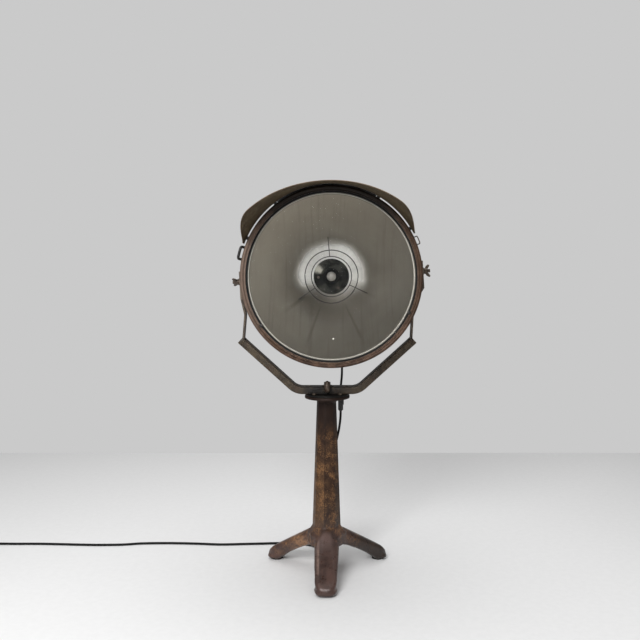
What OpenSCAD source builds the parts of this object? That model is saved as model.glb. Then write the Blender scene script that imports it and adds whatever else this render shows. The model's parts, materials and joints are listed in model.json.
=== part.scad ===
// Spotlight floor lamp: a round lamp head with a visor hangs between two straps
// in a fork, and the fork turns on a cast pedestal with three toes.
// Millimetres, +Z up. The lamp looks along -Y. The origin is on the floor, under
// the middle of the head.

/* [Stand] */
// Height of the lamp axis above the floor
axis_h = 847; // [830:1:870]
// How far the worn fork carries the head to the right of the column
head_shift = 12; // [0:1:20]
// Gap between the front ring's lowest point and the flange's top face
fork_clear = 93; // [80:1:110]
// Radius of the flange on the column
flange_r = 65; // [62:1:72]
// Thickness of the flange
flange_t = 7; // [5:0.5:10]
// Corner radius of the eight-sided column at its foot
column_foot_r = 41; // [36:0.5:46]
// Corner radius of the eight-sided column at its top
column_top_r = 27; // [22:0.5:32]
// Turn of the column's corners about its axis
column_turn = 8; // [0:1:22]
// Height where the column meets the toes
column_foot_z = 92; // [85:1:105]
// Reach of each toe from the column's axis
toe_reach = 204; // [190:1:215]
// Radius of the rounded end of each toe
toe_r = 30; // [26:0.5:34]
// Thickness of the felt pad under each toe
pad_t = 4; // [2:0.5:6]
// Radius of the felt pads
pad_r = 17; // [12:0.5:20]

/* [Swivel and fork] */
// Radius of the stud that the fork turns on
stud_r = 6; // [5:0.5:7]
// Thickness of the swivel plate
plate_t = 5.5; // [5:0.5:10]
// Height of the channel that the fork is bent from
channel_h = 20; // [18:0.5:24]
// Width of the channel, front to back
channel_w = 50; // [44:1:60]
// Wall of the channel
channel_wall = 5; // [3:0.5:6]
// How far each tip of the fork lies inside the ring's edge
fork_inset = 7; // [4:1:12]
// Rise of the fork's tips over its middle
fork_rise = 142; // [130:1:150]
// Slope of the fork's arms
fork_slope = 42; // [38:0.1:45]
// Radius of the bends in the fork, on their upper side
bend_r = 40; // [20:1:60]
// Width of each strap
strap_w = 36; // [28:1:38]
// Thickness of each strap
strap_t = 5; // [4:0.5:6]
// How far each strap leans to the right on its way up
strap_lean = 6; // [0:0.5:8]

/* [Head] */
// Roll of the head in the worn fork, right side up
head_roll = 3.4; // [0:0.1:5]
// Outer radius of the front ring
ring_r = 250; // [240:1:255]
// Distance of the ring's front face from the tilt axis
ring_front = 130; // [125:1:140]
// Length of the ring's side wall
ring_deep = 30; // [26:1:34]
// Width of the ring's flat front
ring_face = 15; // [13:0.5:18]
// Wall of the sheet metal in the ring and the drum
sheet = 2; // [1.5:0.5:3]
// Gap between the ring's outside and the drum's outside
drum_step = 14; // [12:0.5:18]
// Distance of the drum's back edge behind the tilt axis
drum_back = 95; // [90:1:105]
// Distance of the cone's small end behind the tilt axis
cone_back = 200; // [190:1:210]
// Radius of the can at the back of the head
can_r = 75; // [65:1:85]
// Distance of the can's end behind the tilt axis
can_back = 255; // [245:1:265]
// Focal length of the reflector
focal = 55; // [50:0.5:60]
// Radius of the hole at the bottom of the reflector
neck_r = 54; // [48:0.5:58]
// Thickness of the reflector
reflector_t = 1.5; // [1:0.1:2.5]
// Thickness of the front glass
glass_t = 4; // [3:0.5:5]
// Thickness of the seal in front of the glass
seal_t = 3; // [2:0.5:4]
// Radius of the lamp holder
holder_r = 25; // [22:0.5:27]
// Radius of the tubular bulb
bulb_r = 13.5; // [11:0.5:14]
// Length of the bulb's glass
bulb_len = 56; // [45:1:65]
// Radius of the inner wire ring in front of the bulb
guard_inner_r = 59.5; // [54:0.5:64]
// Radius of the outer wire ring in front of the bulb
guard_outer_r = 78.5; // [72:0.5:84]
// Radius of the wire in those rings
wire_r = 1.5; // [1:0.1:2]

/* [Visor] */
// Depth of the visor, from its back edge to its front edge
visor_deep = 188; // [160:1:200]
// How far the visor's back edge lies behind the ring's front face
visor_lap = 18; // [16:1:22]
// Gap between the ring and the visor's back edge
visor_gap = 5.5; // [4:0.5:8]
// Half of the arc that the visor covers
visor_half = 66; // [60:0.5:66]
// How far the front edge sinks at its middle
visor_sag = 15; // [0:1:20]
// How far the front edge spreads at its sides
visor_spread = 8.5; // [0:0.5:12]
// How far the front edge leans to the left
visor_lean = 7.5; // [0:0.5:12]
// Length of the rounded corners along the arc
visor_corner = 87; // [60:1:100]

/* [Pivots and clips] */
// Radius of the tilt bolts
pivot_r = 5; // [4:0.5:6]
// Gap between the front ring's edge and each strap
pivot_gap = 10; // [9:1:18]
// Radius of the wing nuts' hubs
nut_r = 8; // [7:0.5:9]
// Reach of the wing nuts' wings
wing_reach = 20; // [17:0.5:22]
// Radius of the rod in the left clip
left_clip_r = 3; // [2:0.1:3.5]
// Radius of the wire in the right clip
right_clip_r = 1.6; // [1.2:0.1:2.5]
// Half the width of the left clip
left_clip_half = 17; // [15:0.5:19]
// Half the width of the right clip
right_clip_half = 11; // [9:0.5:14]

/* [Cord] */
// Radius of the cord
cord_r = 3.5; // [3:0.1:3.5]
// Turns in the coil that is put away
coil_turns = 5.25; // [4.25:1:5.25]
// Radius of the coil's outermost turn, at the middle of the cord
coil_r = 46; // [46:1:50]

/* [Hidden] */
$fn = 64;
// Clearances: a shaft that turns, curved pieces that stay apart, and a cut's overshoot
fit = 0.05;
apart = 0.3;
over = 1;

// Stand
base_x = -head_shift;
flange_top = axis_h - ring_r - fork_clear;
flange_z = flange_top - flange_t;
toe_angles = [-90, 30, 150];
toe_at = toe_reach - toe_r;
toe_z = 10;
knee_at = 98;
knee_z = 48;
knee_r = 29;
hip_at = 34;
hip_z = 88;
hip_r = 33;
arch_z = 50;
arch_top_r = 48;
arch_foot_r = toe_at - pad_r - over;
stud_depth = 30;

// Fork
web_top = flange_top + plate_t + channel_h;
fork_half = ring_r - fork_inset;
fork_tip = [-fork_half, web_top + fork_rise];
fork_corner = fork_half - fork_rise / tan(fork_slope);
bend_at = fork_corner - bend_r * tan(fork_slope / 2);
bend_steps = 8;
arm_dir = [-cos(fork_slope), sin(fork_slope)];
arm_normal = [-sin(fork_slope), -cos(fork_slope)];
plate_r = flange_r - 1;
yoke_bolt_at = plate_r - 11;
bolt_r = 4;
bolt_head_r = 6.5;
bolt_head_t = 5;
low_head_t = 1.5;
plate_bolt_at = plate_r - 12;
washer_t = 2.5;
lever_z = web_top + washer_t + apart;
lever_reach = 38;
lever_hub_r = 9.5;
strap_foot = 46;
strap_bolt_at = [20, 36];
strap_back = 8.2;
tip_notch = 10.5;

// Head: f is the distance in front of the tilt axis, so f = -y
drum_r = ring_r - drum_step;
ring_wall = sheet + 0.5;
ring_flat = 3;
ring_bead = 5.5;
ring_inner = ring_r - ring_face;
ring_back = ring_front - ring_deep;
seal_f = ring_front - ring_flat;
glass_f = seal_f - seal_t;
glass_back = glass_f - glass_t;
glass_r = ring_r - ring_wall - 4;
seal_inner = ring_inner - 5;
lip_f = glass_back - 0.5;
lip_t = 1.5;
lip_r = drum_r + 5;
rim_flange_r = ring_r - ring_wall - 2.5;
rim_f = lip_f - lip_t;
mirror_r = seal_inner - 4;
vertex_f = rim_f - mirror_r * mirror_r / (4 * focal);
mirror_steps = 28;
neck_f = vertex_f + neck_r * neck_r / (4 * focal);
holder_plate_f = neck_f - reflector_t - apart;
holder_plate_t = 3;
holder_plate_r = neck_r + 8;
holder_len = 30;
holder_floor = 4;
cap_len = holder_len - holder_floor - 2 * apart;
guard_rise = 66;
guard_f = vertex_f + guard_rise;
guard_reach = sqrt(4 * focal * (guard_f - wire_r - vertex_f)) - apart;
guard_angles = [91.6, 211.6, 331.6];
leg_r = wire_r - 0.3;
clip_w = 8;
clip_t = 2.2;
cover_t = 4;
cover_skirt = 24;
gland_foot_r = 11;
gland_foot_t = 8;
gland_boot = 33;
gland_boot_r = 5.5;
gland_stub = 12;
gland_stub_r = 6;
gland_bore = cord_r + apart;
cover_back = can_back + cover_t;

// Pivots, in the head's own frame
bracket_t = 6;
bracket_w = 36;
bracket_h = 58;
pivot_washer_r = 11;
bracket_x = drum_r + apart;
boss_r = 12;
pivot_x = ring_r + pivot_gap;
strap_x = pivot_x + strap_t / 2;
nut_x = pivot_x + strap_t + washer_t + 2 * apart;
nut_len = 12;

// Clips that hold the front ring, drawn at the top of the head and turned into place
clip_turns = [-72, 70.5];
clip_pivot_f = 80;
clip_pivot_r = drum_r + 10;
clip_bar_f = ring_front - 2;
clip_bar_r = ring_r + 12;
lug_t = 4;
lug_deep = 12;
lug_gap = 1.5;

// Visor
visor_t = 1.5;
visor_r = ring_r + visor_gap + visor_t;
visor_f = ring_front - visor_lap;
visor_ease = 1.43;
visor_cols = 32;
visor_rows = 6;
visor_end_lap = visor_lap;
tab_angles = [-62, -34, 34, 62];
tab_w = 10;
strip_half = 32.5;
strip_t = 4.1;
strip_w = 8;

// Cord, chosen point by point. The upper lead is measured from the tilt axis, the lead down
// to the floor by its share of the switch's height, and the lead on the floor from the floor.
upper_hang = [
    [0, 0, 0], [0, 13.6, -1], [1, 29.6, -9], [3, 41.6, -26], [6, 47.6, -51], [10, 46.6, -87],
    [15, 37.6, -125], [20, 21.6, -161], [25, -2.4, -197], [29, -32.4, -227], [32, -66.4, -253],
    [33, -103.4, -274], [33, -134.4, -290], [32, -160.4, -307], [29.8, -179, -326],
    [28.2, -189, -339], [28, -190.4, -344], [28, -190.4, -347.7]
];
lower_hang = [
    [28, 0.9993], [28, 0.972], [26.5, 0.927], [22, 0.862], [14, 0.784], [2, 0.677], [-8, 0.539],
    [-14, 0.401], [-16, 0.271], [-19, 0.156], [-24, 0.073]
];
lower_back = [110, 110, 109, 107, 104, 101, 99, 98, 100, 107, 122];
floor_route = [
    [-31, 143, 12], [-44, 164, 5], [-68, 184, 3.9], [-108, 198, 3.6], [-150, 202, 3.6],
    [-190, 200, 3.6], [-280, 194, 3.6], [-350, 190, 3.6], [-430, 198, 3.6], [-520, 202, 3.6],
    [-600, 199, 3.6], [-655, 189, 3.6], [-725, 186, 3.6], [-785, 188, 3.6], [-845, 192, 3.6],
    [-920, 196, 3.6], [-1000, 196, 3.6], [-1060, 196, 4.2], [-1102, 196, 4.8]
];
gland_tip = cover_back + gland_foot_t + gland_boot + apart;
upper_route = [for (p = upper_hang) p + [0, gland_tip, axis_h]];
switch_top = axis_h - 348;
switch_len = 60;
switch_bottom = switch_top - switch_len;
lower_route = concat(
    [for (i = [0:len(lower_hang) - 1]) [lower_hang[i][0], lower_back[i], lower_hang[i][1] * switch_bottom]],
    floor_route
);
inner_route = [
    [0, 246.7, 0], [0, 225, 3], [1, 195, 7], [2, 165, 7], [1, 140, 3], [0, 112, 0]
];
cord_sides = 8;
cord_step = 20;
coil_at = [-1110, 196 - coil_r, 4.8];
coil_pitch = 7.6;
coil_lead = 8;
coil_loop_rings = 24;
coil_sides = 6;
plug_z = 17.3;
plug_lead = 46;
tie_w = 8;
tie_t = 0.8;

// Switch on the cord
switch_at = [28, 110];
switch_w = 15.4;
switch_deep = 27;
switch_bush = 4;
switch_bush_r = 5.5;
switch_wall = 1.6;
switch_edge = 4;
rocker_len = 22;
rocker_w = 10;
rocker_t = 4;
rocker_pin_r = 1.2;

// Plug
plug_r = 17;
plug_len = 30;
plug_neck = 24;
plug_pin_r = 2.4;
plug_pin_len = 19;
plug_pin_gap = 19;

// Points on an arc about c, in degrees
function arc(c, r, a0, a1, n) = [
    for (i = [0:n]) c + r * [cos(a0 + (a1 - a0) * i / n), sin(a0 + (a1 - a0) * i / n)]
];

function backwards(p) = [for (i = [len(p) - 1:-1:0]) p[i]];

function mirrored(p) = [for (q = p) [-q[0], q[1]]];

function unit(v) = v / norm(v);

// A path moved sideways by d, with sharp corners
function beside(p, d) = [
    for (i = [0:len(p) - 1])
        let (
            u = unit(p[min(i + 1, len(p) - 1)] - p[min(i, len(p) - 2)]),
            v = unit(p[max(i, 1)] - p[max(i - 1, 0)]),
            m = unit([-u[1] - v[1], u[0] + v[0]])
        )
        p[i] + m * d / (m * [-u[1], u[0]])
];

function band(p, t) = concat(beside(p, t / 2), backwards(beside(p, -t / 2)));

// A point of the head's own front view, rolled and raised into the lamp's frame
function rolled(x, z) = [
    x * cos(head_roll) - z * sin(head_roll),
    axis_h + x * sin(head_roll) + z * cos(head_roll)
];

// Left half of the fork's line, t below the top of its web, its tip cut short
function fork_half_line(t, short) = concat(
    [fork_tip - arm_dir * short + arm_normal * t],
    arc([-bend_at, web_top + bend_r], bend_r + t, 270 - fork_slope, 270, bend_steps)
);

function fork_line(t, short) = concat(
    fork_half_line(t, short), backwards(mirrored(fork_half_line(t, short)))
);

function fork_band(t0, t1, short) = concat(fork_line(t0, short), backwards(fork_line(t1, short)));

// Height of the reflector's inner face over radius r
function mirror_f(r) = vertex_f + r * r / (4 * focal);

// Smooth curve through points: one span of it, and then the whole
function span_at(a, b, c, d, s) = (
    2 * b + (c - a) * s + (2 * a - 5 * b + 4 * c - d) * s * s
    + (3 * b - a - 3 * c + d) * s * s * s
) / 2;

function smooth(p, step) = concat(
    [
        for (i = [0:len(p) - 2])
            let (n = max(1, round(norm(p[i + 1] - p[i]) / step)))
            for (k = [0:n - 1])
                span_at(
                    p[max(i - 1, 0)], p[i], p[i + 1], p[min(i + 2, len(p) - 1)], k / n
                )
    ],
    [p[len(p) - 1]]
);

function tangents(p) = [
    for (i = [0:len(p) - 1]) unit(p[min(i + 1, len(p) - 1)] - p[max(i - 1, 0)])
];

function square_to(u, t) = unit(u - (u * t) * t);

// Rings of a tube along p, carried along without twist
function tube_rings(p, r, sides) = let (t = tangents(p)) [
    for (
        i = 0, u = square_to([0.3, 1, 0.2], t[0]);
        i < len(p);
        i = i + 1, u = i < len(p) ? square_to(u, t[i]) : u
    )
        for (k = [0:sides - 1])
            p[i] + r * (cos(360 * k / sides) * u + sin(360 * k / sides) * cross(t[i], u))
];

module tube(p, r, sides) {
    rings = len(p);
    polyhedron(
        tube_rings(p, r, sides),
        concat(
            [for (k = [1:sides - 2]) [0, k, k + 1]],
            [
                for (i = [0:rings - 2]) for (k = [0:sides - 1]) for (half = [0, 1])
                    let (a = i * sides + k, b = i * sides + (k + 1) % sides)
                    half == 0 ? [a, a + sides, b] : [b, a + sides, b + sides]
            ],
            [
                for (k = [1:sides - 2])
                    [(rings - 1) * sides, (rings - 1) * sides + k + 1, (rings - 1) * sides + k]
            ]
        )
    );
}

// Places and turns used by several pieces
module at_base() {
    translate([base_x, 0, 0]) children();
}

module head_frame() {
    translate([0, 0, axis_h]) rotate([0, -head_roll, 0]) children();
}

// Turns an outline of [radius, f] about the lamp axis
module turned(steps = 128) {
    rotate([90, 0, 0]) rotate_extrude($fn = steps) children();
}

// Puts children on the front view at an angle, radius along +X and f along +Z
module at_clock(angle, f) {
    rotate([0, -angle, 0]) translate([0, -f, 0]) rotate([90, 0, 0]) children();
}

module along_x(x) {
    translate([x, 0, 0]) rotate([0, 90, 0]) children();
}

module both_sides() {
    children();
    mirror([1, 0, 0]) children();
}

module hex_bolt(r, length, head_r, head_t) {
    cylinder(r = head_r, h = head_t, $fn = 6);
    translate([0, 0, -length]) cylinder(r = r, h = length + over);
}

// Stand
module toe() {
    hull() {
        translate([hip_at, 0, hip_z]) sphere(hip_r, $fn = 24);
        translate([knee_at, 0, knee_z]) sphere(knee_r, $fn = 24);
    }
    hull() {
        translate([knee_at, 0, knee_z]) sphere(knee_r, $fn = 24);
        translate([toe_at, 0, toe_z]) sphere(toe_r, $fn = 24);
    }
}

module pedestal() {
    color("#5a4334") at_base() difference() {
        union() {
            rotate(-column_turn - 90) translate([0, 0, column_foot_z])
                cylinder(
                    r1 = column_foot_r,
                    r2 = column_top_r,
                    h = flange_z - column_foot_z + over,
                    $fn = 8
                );
            translate([0, 0, flange_z]) cylinder(r = flange_r, h = flange_t, $fn = 128);
            for (a = toe_angles) rotate(a) toe();
        }
        translate([0, 0, -over])
            cylinder(r1 = arch_foot_r + over, r2 = arch_top_r, h = arch_z + over);
        translate([0, 0, -2 * toe_r]) cylinder(r = toe_reach + toe_r, h = 2 * toe_r + pad_t);
        translate([0, 0, flange_top - stud_depth]) cylinder(r = stud_r + fit, h = stud_depth + over);
    }
}

module foot_pads() {
    color("#1f1c1a") at_base() for (a = toe_angles) rotate(a)
        translate([toe_at, 0, 0]) cylinder(r = pad_r, h = pad_t);
}

module pan_stud() {
    color("#3c3430") at_base() translate([0, 0, flange_top - stud_depth])
        cylinder(r = stud_r, h = lever_z + 10 - flange_top + stud_depth);
}

module pan_lever() {
    hub_h = 9;
    arm_r = 4;
    color("#43382f") at_base() translate([0, 0, lever_z]) difference() {
        union() {
            cylinder(r = lever_hub_r, h = hub_h);
            translate([0, 0, hub_h / 2]) rotate([90, 0, 0]) cylinder(r = arm_r, h = lever_reach);
            translate([0, -lever_reach, 0]) rotate_extrude() polygon([
                [0, -16], [6, -15], [9, -8], [9, 0], [7.8, 8], [5.4, 14.5], [3, 17], [0, 17.6]
            ]);
        }
        translate([0, 0, -over]) cylinder(r = stud_r + fit, h = hub_h + 2 * over);
    }
}

// Swivel and fork
module swivel_plate() {
    color("#26211e") at_base() translate([0, 0, flange_top]) difference() {
        cylinder(r = plate_r, h = plate_t, $fn = 128);
        translate([0, 0, -over]) cylinder(r = stud_r + fit, h = plate_t + 2 * over);
        for (s = [-1, 1]) translate([s * yoke_bolt_at, 0, -over])
            cylinder(r = bolt_r + fit, h = plate_t + 2 * over);
    }
}

module plate_bolts() {
    color("#55483e") at_base() for (a = [45:90:315]) rotate(a)
        translate([plate_bolt_at, 0, flange_top + plate_t]) cylinder(r = 6, h = 4.5, $fn = 6);
}

module fork_slab(t1, w, short) {
    rotate([90, 0, 0]) linear_extrude(w, center = true) polygon(fork_band(0, t1, short));
}

module fork() {
    color("#5d4839") at_base() difference() {
        union() {
            fork_slab(channel_wall, channel_w - channel_wall, tip_notch);
            for (s = [-1, 1]) translate([0, s * (channel_w - channel_wall) / 2, 0])
                fork_slab(channel_h, channel_wall, 0);
        }
        translate([0, 0, web_top - channel_wall - over])
            cylinder(r = stud_r + fit, h = channel_wall + 2 * over);
        for (s = [-1, 1]) translate([s * yoke_bolt_at, 0, web_top - channel_wall - over])
            cylinder(r = bolt_r + fit, h = channel_wall + 2 * over);
        both_sides() for (d = strap_bolt_at) strap_bolt_place(d)
            translate([0, 0, -channel_wall - over]) cylinder(r = bolt_r + fit, h = channel_wall + 2 * over);
    }
}

module fork_bolts() {
    color("#55483e") at_base() for (s = [-1, 1]) translate([s * yoke_bolt_at, 0, web_top])
        hex_bolt(bolt_r, web_top - flange_top, bolt_head_r, low_head_t);
}

module pan_washer() {
    color("#6b6058") at_base() translate([0, 0, web_top]) difference() {
        cylinder(r = 16, h = washer_t);
        translate([0, 0, -over]) cylinder(r = stud_r + fit, h = washer_t + 2 * over);
    }
}

// On top of the left arm's web, d from its tip, +Z square to the web
module strap_bolt_place(d) {
    p = fork_tip - arm_dir * d;
    translate([p[0], 0, p[1]]) rotate([0, fork_slope, 0]) children();
}

// Line of a strap: under the web, past its end, up, outwards and beside the head
function strap_line(s) = let (
    drop = channel_wall + strap_t / 2 + apart,
    foot = fork_tip + arm_normal * drop,
    end = foot - arm_dir * strap_back,
    root = [base_x + s * -end[0], end[1]],
    low = rolled(s * strap_x, -48),
    shoulder = [root[0] + strap_lean, low[1] - 46]
) [
    [base_x + s * -(foot - arm_dir * strap_foot)[0], (foot - arm_dir * strap_foot)[1]],
    root, shoulder, low, rolled(s * strap_x, 30)
];

module strap(s) {
    color("#5d4839") difference() {
        rotate([90, 0, 0]) linear_extrude(strap_w, center = true) polygon(band(strap_line(s), strap_t));
        head_frame() along_x(s * strap_x) cylinder(r = pivot_r + fit, h = 3 * strap_t, center = true);
        at_base() mirror([s > 0 ? 1 : 0, 0, 0]) for (d = strap_bolt_at) strap_bolt_place(d)
            translate([0, 0, -channel_wall - 2 * strap_t])
                cylinder(r = bolt_r + fit, h = 3 * strap_t);
    }
}

module left_strap() {
    strap(-1);
}

module right_strap() {
    strap(1);
}

module strap_bolts() {
    color("#55483e") at_base() both_sides() for (d = strap_bolt_at) strap_bolt_place(d)
        translate([0, 0, -channel_wall - strap_t - apart]) mirror([0, 0, 1])
            hex_bolt(bolt_r, channel_wall + strap_t + apart - fit, bolt_head_r, bolt_head_t);
}

module pivot_washers() {
    color("#6b6058") head_frame() both_sides() along_x(pivot_x + strap_t + apart) difference() {
        cylinder(r = pivot_washer_r, h = washer_t);
        translate([0, 0, -over]) cylinder(r = pivot_r + fit, h = washer_t + 2 * over);
    }
}

module wing_nut() {
    difference() {
        union() {
            cylinder(r1 = nut_r + 1, r2 = nut_r - 1.5, h = nut_len);
            for (s = [-1, 1]) rotate([90, 0, 0]) linear_extrude(4, center = true)
                polygon([
                    [s * 4, 1], [s * wing_reach * 0.75, 7], [s * wing_reach, 14],
                    [s * (wing_reach - 3), 18], [s * (wing_reach - 7), 16], [s * 4, 10]
                ]);
        }
        translate([0, 0, -over]) cylinder(r = pivot_r + fit, h = nut_len + 10 + 2 * over);
    }
}

module left_wing_nut() {
    color("#6d5f53") head_frame() mirror([1, 0, 0]) along_x(nut_x) rotate(58) wing_nut();
}

module right_wing_nut() {
    color("#6d5f53") head_frame() along_x(nut_x) rotate(-25) wing_nut();
}

// Head
module housing() {
    color("#4d3d32") head_frame() difference() {
        turned() polygon([
            [drum_r - sheet, rim_f], [rim_flange_r, rim_f], [rim_flange_r, rim_f - sheet],
            [drum_r, rim_f - sheet], [drum_r, -drum_back], [can_r, -cone_back],
            [can_r, -can_back], [can_r - sheet, -can_back], [can_r - sheet, sheet / 2 - cone_back],
            [drum_r - sheet, sheet / 2 - drum_back]
        ]);
        along_x(0) cylinder(r = pivot_r + fit, h = 3 * drum_r, center = true);
    }
}

module rear_cover() {
    color("#4d3d32") head_frame() difference() {
        turned(96) polygon([
            [0, -can_back - cover_t], [can_r, -can_back - cover_t], [can_r + apart + sheet, -can_back - 1],
            [can_r + apart + sheet, cover_skirt - can_back], [can_r + apart, cover_skirt - can_back],
            [can_r + apart, -can_back], [0, -can_back]
        ]);
        for (a = [30:60:330]) at_clock(a, -can_back - cover_t - over)
            translate([can_r * 0.55, 0, 0]) cylinder(r = 6, h = cover_t + 2 * over);
        at_clock(0, -cover_back - over) cylinder(r = gland_stub_r + fit, h = cover_t + 2 * over);
    }
}

module cover_screws() {
    color("#6d5f53") head_frame() for (a = [90, 210, 330]) rotate([0, -a, 0])
        translate([can_r + 2 * apart + sheet, can_back - cover_skirt / 2, 0]) rotate([0, 90, 0])
            cylinder(r = 5, h = 3.5);
}

module pivot_brackets() {
    color("#4a3b31") head_frame() both_sides() difference() {
        union() {
            translate([bracket_x, -bracket_w / 2, -bracket_h / 2]) cube([bracket_t, bracket_w, bracket_h]);
            along_x(bracket_x) cylinder(r = boss_r, h = pivot_x - apart - bracket_x);
        }
        along_x(0) cylinder(r = pivot_r + fit, h = 2 * ring_r);
    }
}

module pivot_bolts() {
    bolt_end = nut_x + nut_len + 6;
    head_x = drum_r - sheet - 1 - apart;
    color("#6d5f53") head_frame() both_sides() {
        along_x(head_x - 6) cylinder(r = 9, h = 6, $fn = 6);
        along_x(head_x - 1) cylinder(r = pivot_r, h = bolt_end - head_x + 1);
    }
}

module reflector() {
    radii = [for (i = [0:mirror_steps]) neck_r + (mirror_r - neck_r) * i / mirror_steps];
    color("#b9b7b0") head_frame() turned() polygon(concat(
        [for (r = radii) [r, mirror_f(r)]],
        [[mirror_r, lip_f], [lip_r, lip_f], [lip_r, rim_f], [mirror_r + 3, rim_f]],
        backwards([
            for (r = radii)
                let (s = r / (2 * focal), n = sqrt(1 + s * s))
                [r + reflector_t * s / n, mirror_f(r) - reflector_t / n]
        ])
    ));
}

module holder_plate() {
    color("#3a3836") head_frame() at_clock(0, holder_plate_f - holder_plate_t) difference() {
        cylinder(r = holder_plate_r, h = holder_plate_t);
        translate([0, 0, -over]) cylinder(r = cord_r + 1, h = holder_plate_t + 2 * over);
    }
}

module holder_screws() {
    color("#a9a49b") head_frame() for (a = [180, 298]) at_clock(a, holder_plate_f)
        translate([(holder_r + neck_r) / 2, 0, 0]) cylinder(r = 4, h = 2.5);
}

module lamp_holder() {
    color("#161514") head_frame() turned(64) polygon([
        [0, holder_plate_f], [holder_r, holder_plate_f], [holder_r, holder_plate_f + holder_len - 3],
        [holder_r - 3, holder_plate_f + holder_len], [bulb_r + 2, holder_plate_f + holder_len],
        [bulb_r - 0.5 + apart, holder_plate_f + holder_len - 4],
        [bulb_r - 0.5 + apart, holder_plate_f + holder_floor], [0, holder_plate_f + holder_floor]
    ]);
}

module bulb_cap() {
    color("#a8935f") head_frame() at_clock(0, holder_plate_f + holder_floor + apart)
        cylinder(r = bulb_r - 0.5, h = cap_len);
}

module bulb() {
    start = holder_plate_f + holder_floor + apart + cap_len;
    color("#e6e2d6") head_frame() turned(64) polygon(concat(
        [[0, start], [bulb_r - 1, start], [bulb_r, start + 3]],
        arc([bulb_r - 6, start + bulb_len - 6], 6, 0, 90, 8),
        [[0, start + bulb_len]]
    ));
}

module wire_guard() {
    color("#4b4742") head_frame() {
        for (r = [guard_inner_r, guard_outer_r])
            turned(96) translate([r, guard_f]) circle(wire_r, $fn = 24);
        for (a = guard_angles) rotate([0, -a, 0]) translate([guard_inner_r, -guard_f, 0])
            rotate([0, 90, 0]) cylinder(r = leg_r, h = guard_reach - guard_inner_r, $fn = 24);
    }
}

module cable_gland() {
    color("#1c1b1a") head_frame() at_clock(0, -cover_back) difference() {
        union() {
            translate([0, 0, -gland_foot_t]) cylinder(r = gland_foot_r, h = gland_foot_t, $fn = 6);
            translate([0, 0, -over]) cylinder(r = gland_stub_r, h = gland_stub + over);
            translate([0, 0, -gland_foot_t - gland_boot])
                cylinder(r1 = gland_boot_r, r2 = 9, h = gland_boot + over);
        }
        translate([0, 0, -gland_foot_t - gland_boot - over])
            cylinder(r = gland_bore, h = gland_foot_t + gland_boot + gland_stub + 2 * over);
    }
}

module gland_nut() {
    color("#6b6058") head_frame() at_clock(0, -can_back) difference() {
        cylinder(r = 9.5, h = 5, $fn = 6);
        translate([0, 0, -over]) cylinder(r = gland_stub_r + fit, h = 5 + 2 * over);
    }
}

module inner_lead() {
    color("#1c1b1a") head_frame() tube(smooth(inner_route, cord_step), cord_r, cord_sides);
}

// Front ring and what it holds
module front_ring() {
    bead_r = ring_r - ring_bead;
    color("#5b4a3d") head_frame() turned() polygon(concat(
        [[ring_inner, ring_front - ring_flat], [ring_inner, ring_front]],
        arc([bead_r, ring_front - 1], ring_bead, 169, 0, 10),
        [
            [ring_r, ring_back], [ring_r - ring_wall, ring_back],
            [ring_r - ring_wall, ring_front - ring_flat]
        ]
    ));
}

module glass_seal() {
    color("#131312") head_frame() turned() translate([seal_inner, glass_f])
        square([glass_r - seal_inner, seal_t]);
}

module front_glass() {
    color([0.8, 0.85, 0.85, 0.3]) head_frame() at_clock(0, glass_back)
        cylinder(r = glass_r, h = glass_t, $fn = 128);
}

module glass_clips() {
    color("#1d1a18") head_frame() for (a = guard_angles) at_clock(a, ring_front + fit)
        translate([seal_inner - 1, -clip_w / 2, 0]) cube([ring_inner - seal_inner + 4, clip_w, clip_t]);
}

// Visor: a rolled sheet whose front edge has sunk at its middle and spread at its sides
function visor_depth(a) = let (
    e = min(1, (visor_half - abs(a)) * PI / 180 * visor_r / visor_corner)
) visor_end_lap + (visor_deep - visor_end_lap) * pow(max(0, 1 - pow(1 - e, 2)), visor_ease);

function visor_point(i, j, inset) = let (
    a = visor_half * (2 * i / visor_cols - 1),
    d = visor_depth(a) * j / visor_rows,
    u = d / visor_deep,
    s = pow(sin(a) / sin(50), 2),
    r = visor_r - inset + u * (s * (visor_sag + visor_spread) - visor_sag)
) [r * sin(a) - visor_lean * u, -visor_f - d, r * cos(a)];

function grid_index(i, j, side) = (side * (visor_cols + 1) + i) * (visor_rows + 1) + j;

module visor() {
    m = visor_cols;
    n = visor_rows;
    cells = [for (i = [0:m - 1]) for (j = [0:n - 1]) [i, j]];
    color("#4f473a") head_frame() polyhedron(
        [
            for (side = [0, 1]) for (i = [0:m]) for (j = [0:n])
                visor_point(i, j, side * visor_t)
        ],
        concat(
            [for (c = cells) for (k = [0, 1]) visor_face(c, 0, k)],
            [for (c = cells) for (k = [0, 1]) backwards(visor_face(c, 1, k))],
            [for (i = [0:m - 1]) for (j = [0, n]) for (k = [0, 1]) visor_edge([i, j], [i + 1, j], j == 0, k)],
            [for (j = [0:n - 1]) for (i = [0, m]) for (k = [0, 1]) visor_edge([i, j], [i, j + 1], i == m, k)]
        )
    );
}

function visor_face(c, side, k) = let (
    p = grid_index(c[0], c[1], side),
    q = grid_index(c[0] + 1, c[1], side)
) k == 0 ? [p, q, p + 1] : [q, q + 1, p + 1];

function visor_edge(c, d, turn, k) = let (
    a = grid_index(c[0], c[1], 0),
    b = grid_index(d[0], d[1], 0),
    e = grid_index(c[0], c[1], 1),
    g = grid_index(d[0], d[1], 1),
    f = k == 0 ? [a, e, b] : [b, e, g]
) turn ? f : backwards(f);

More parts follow.
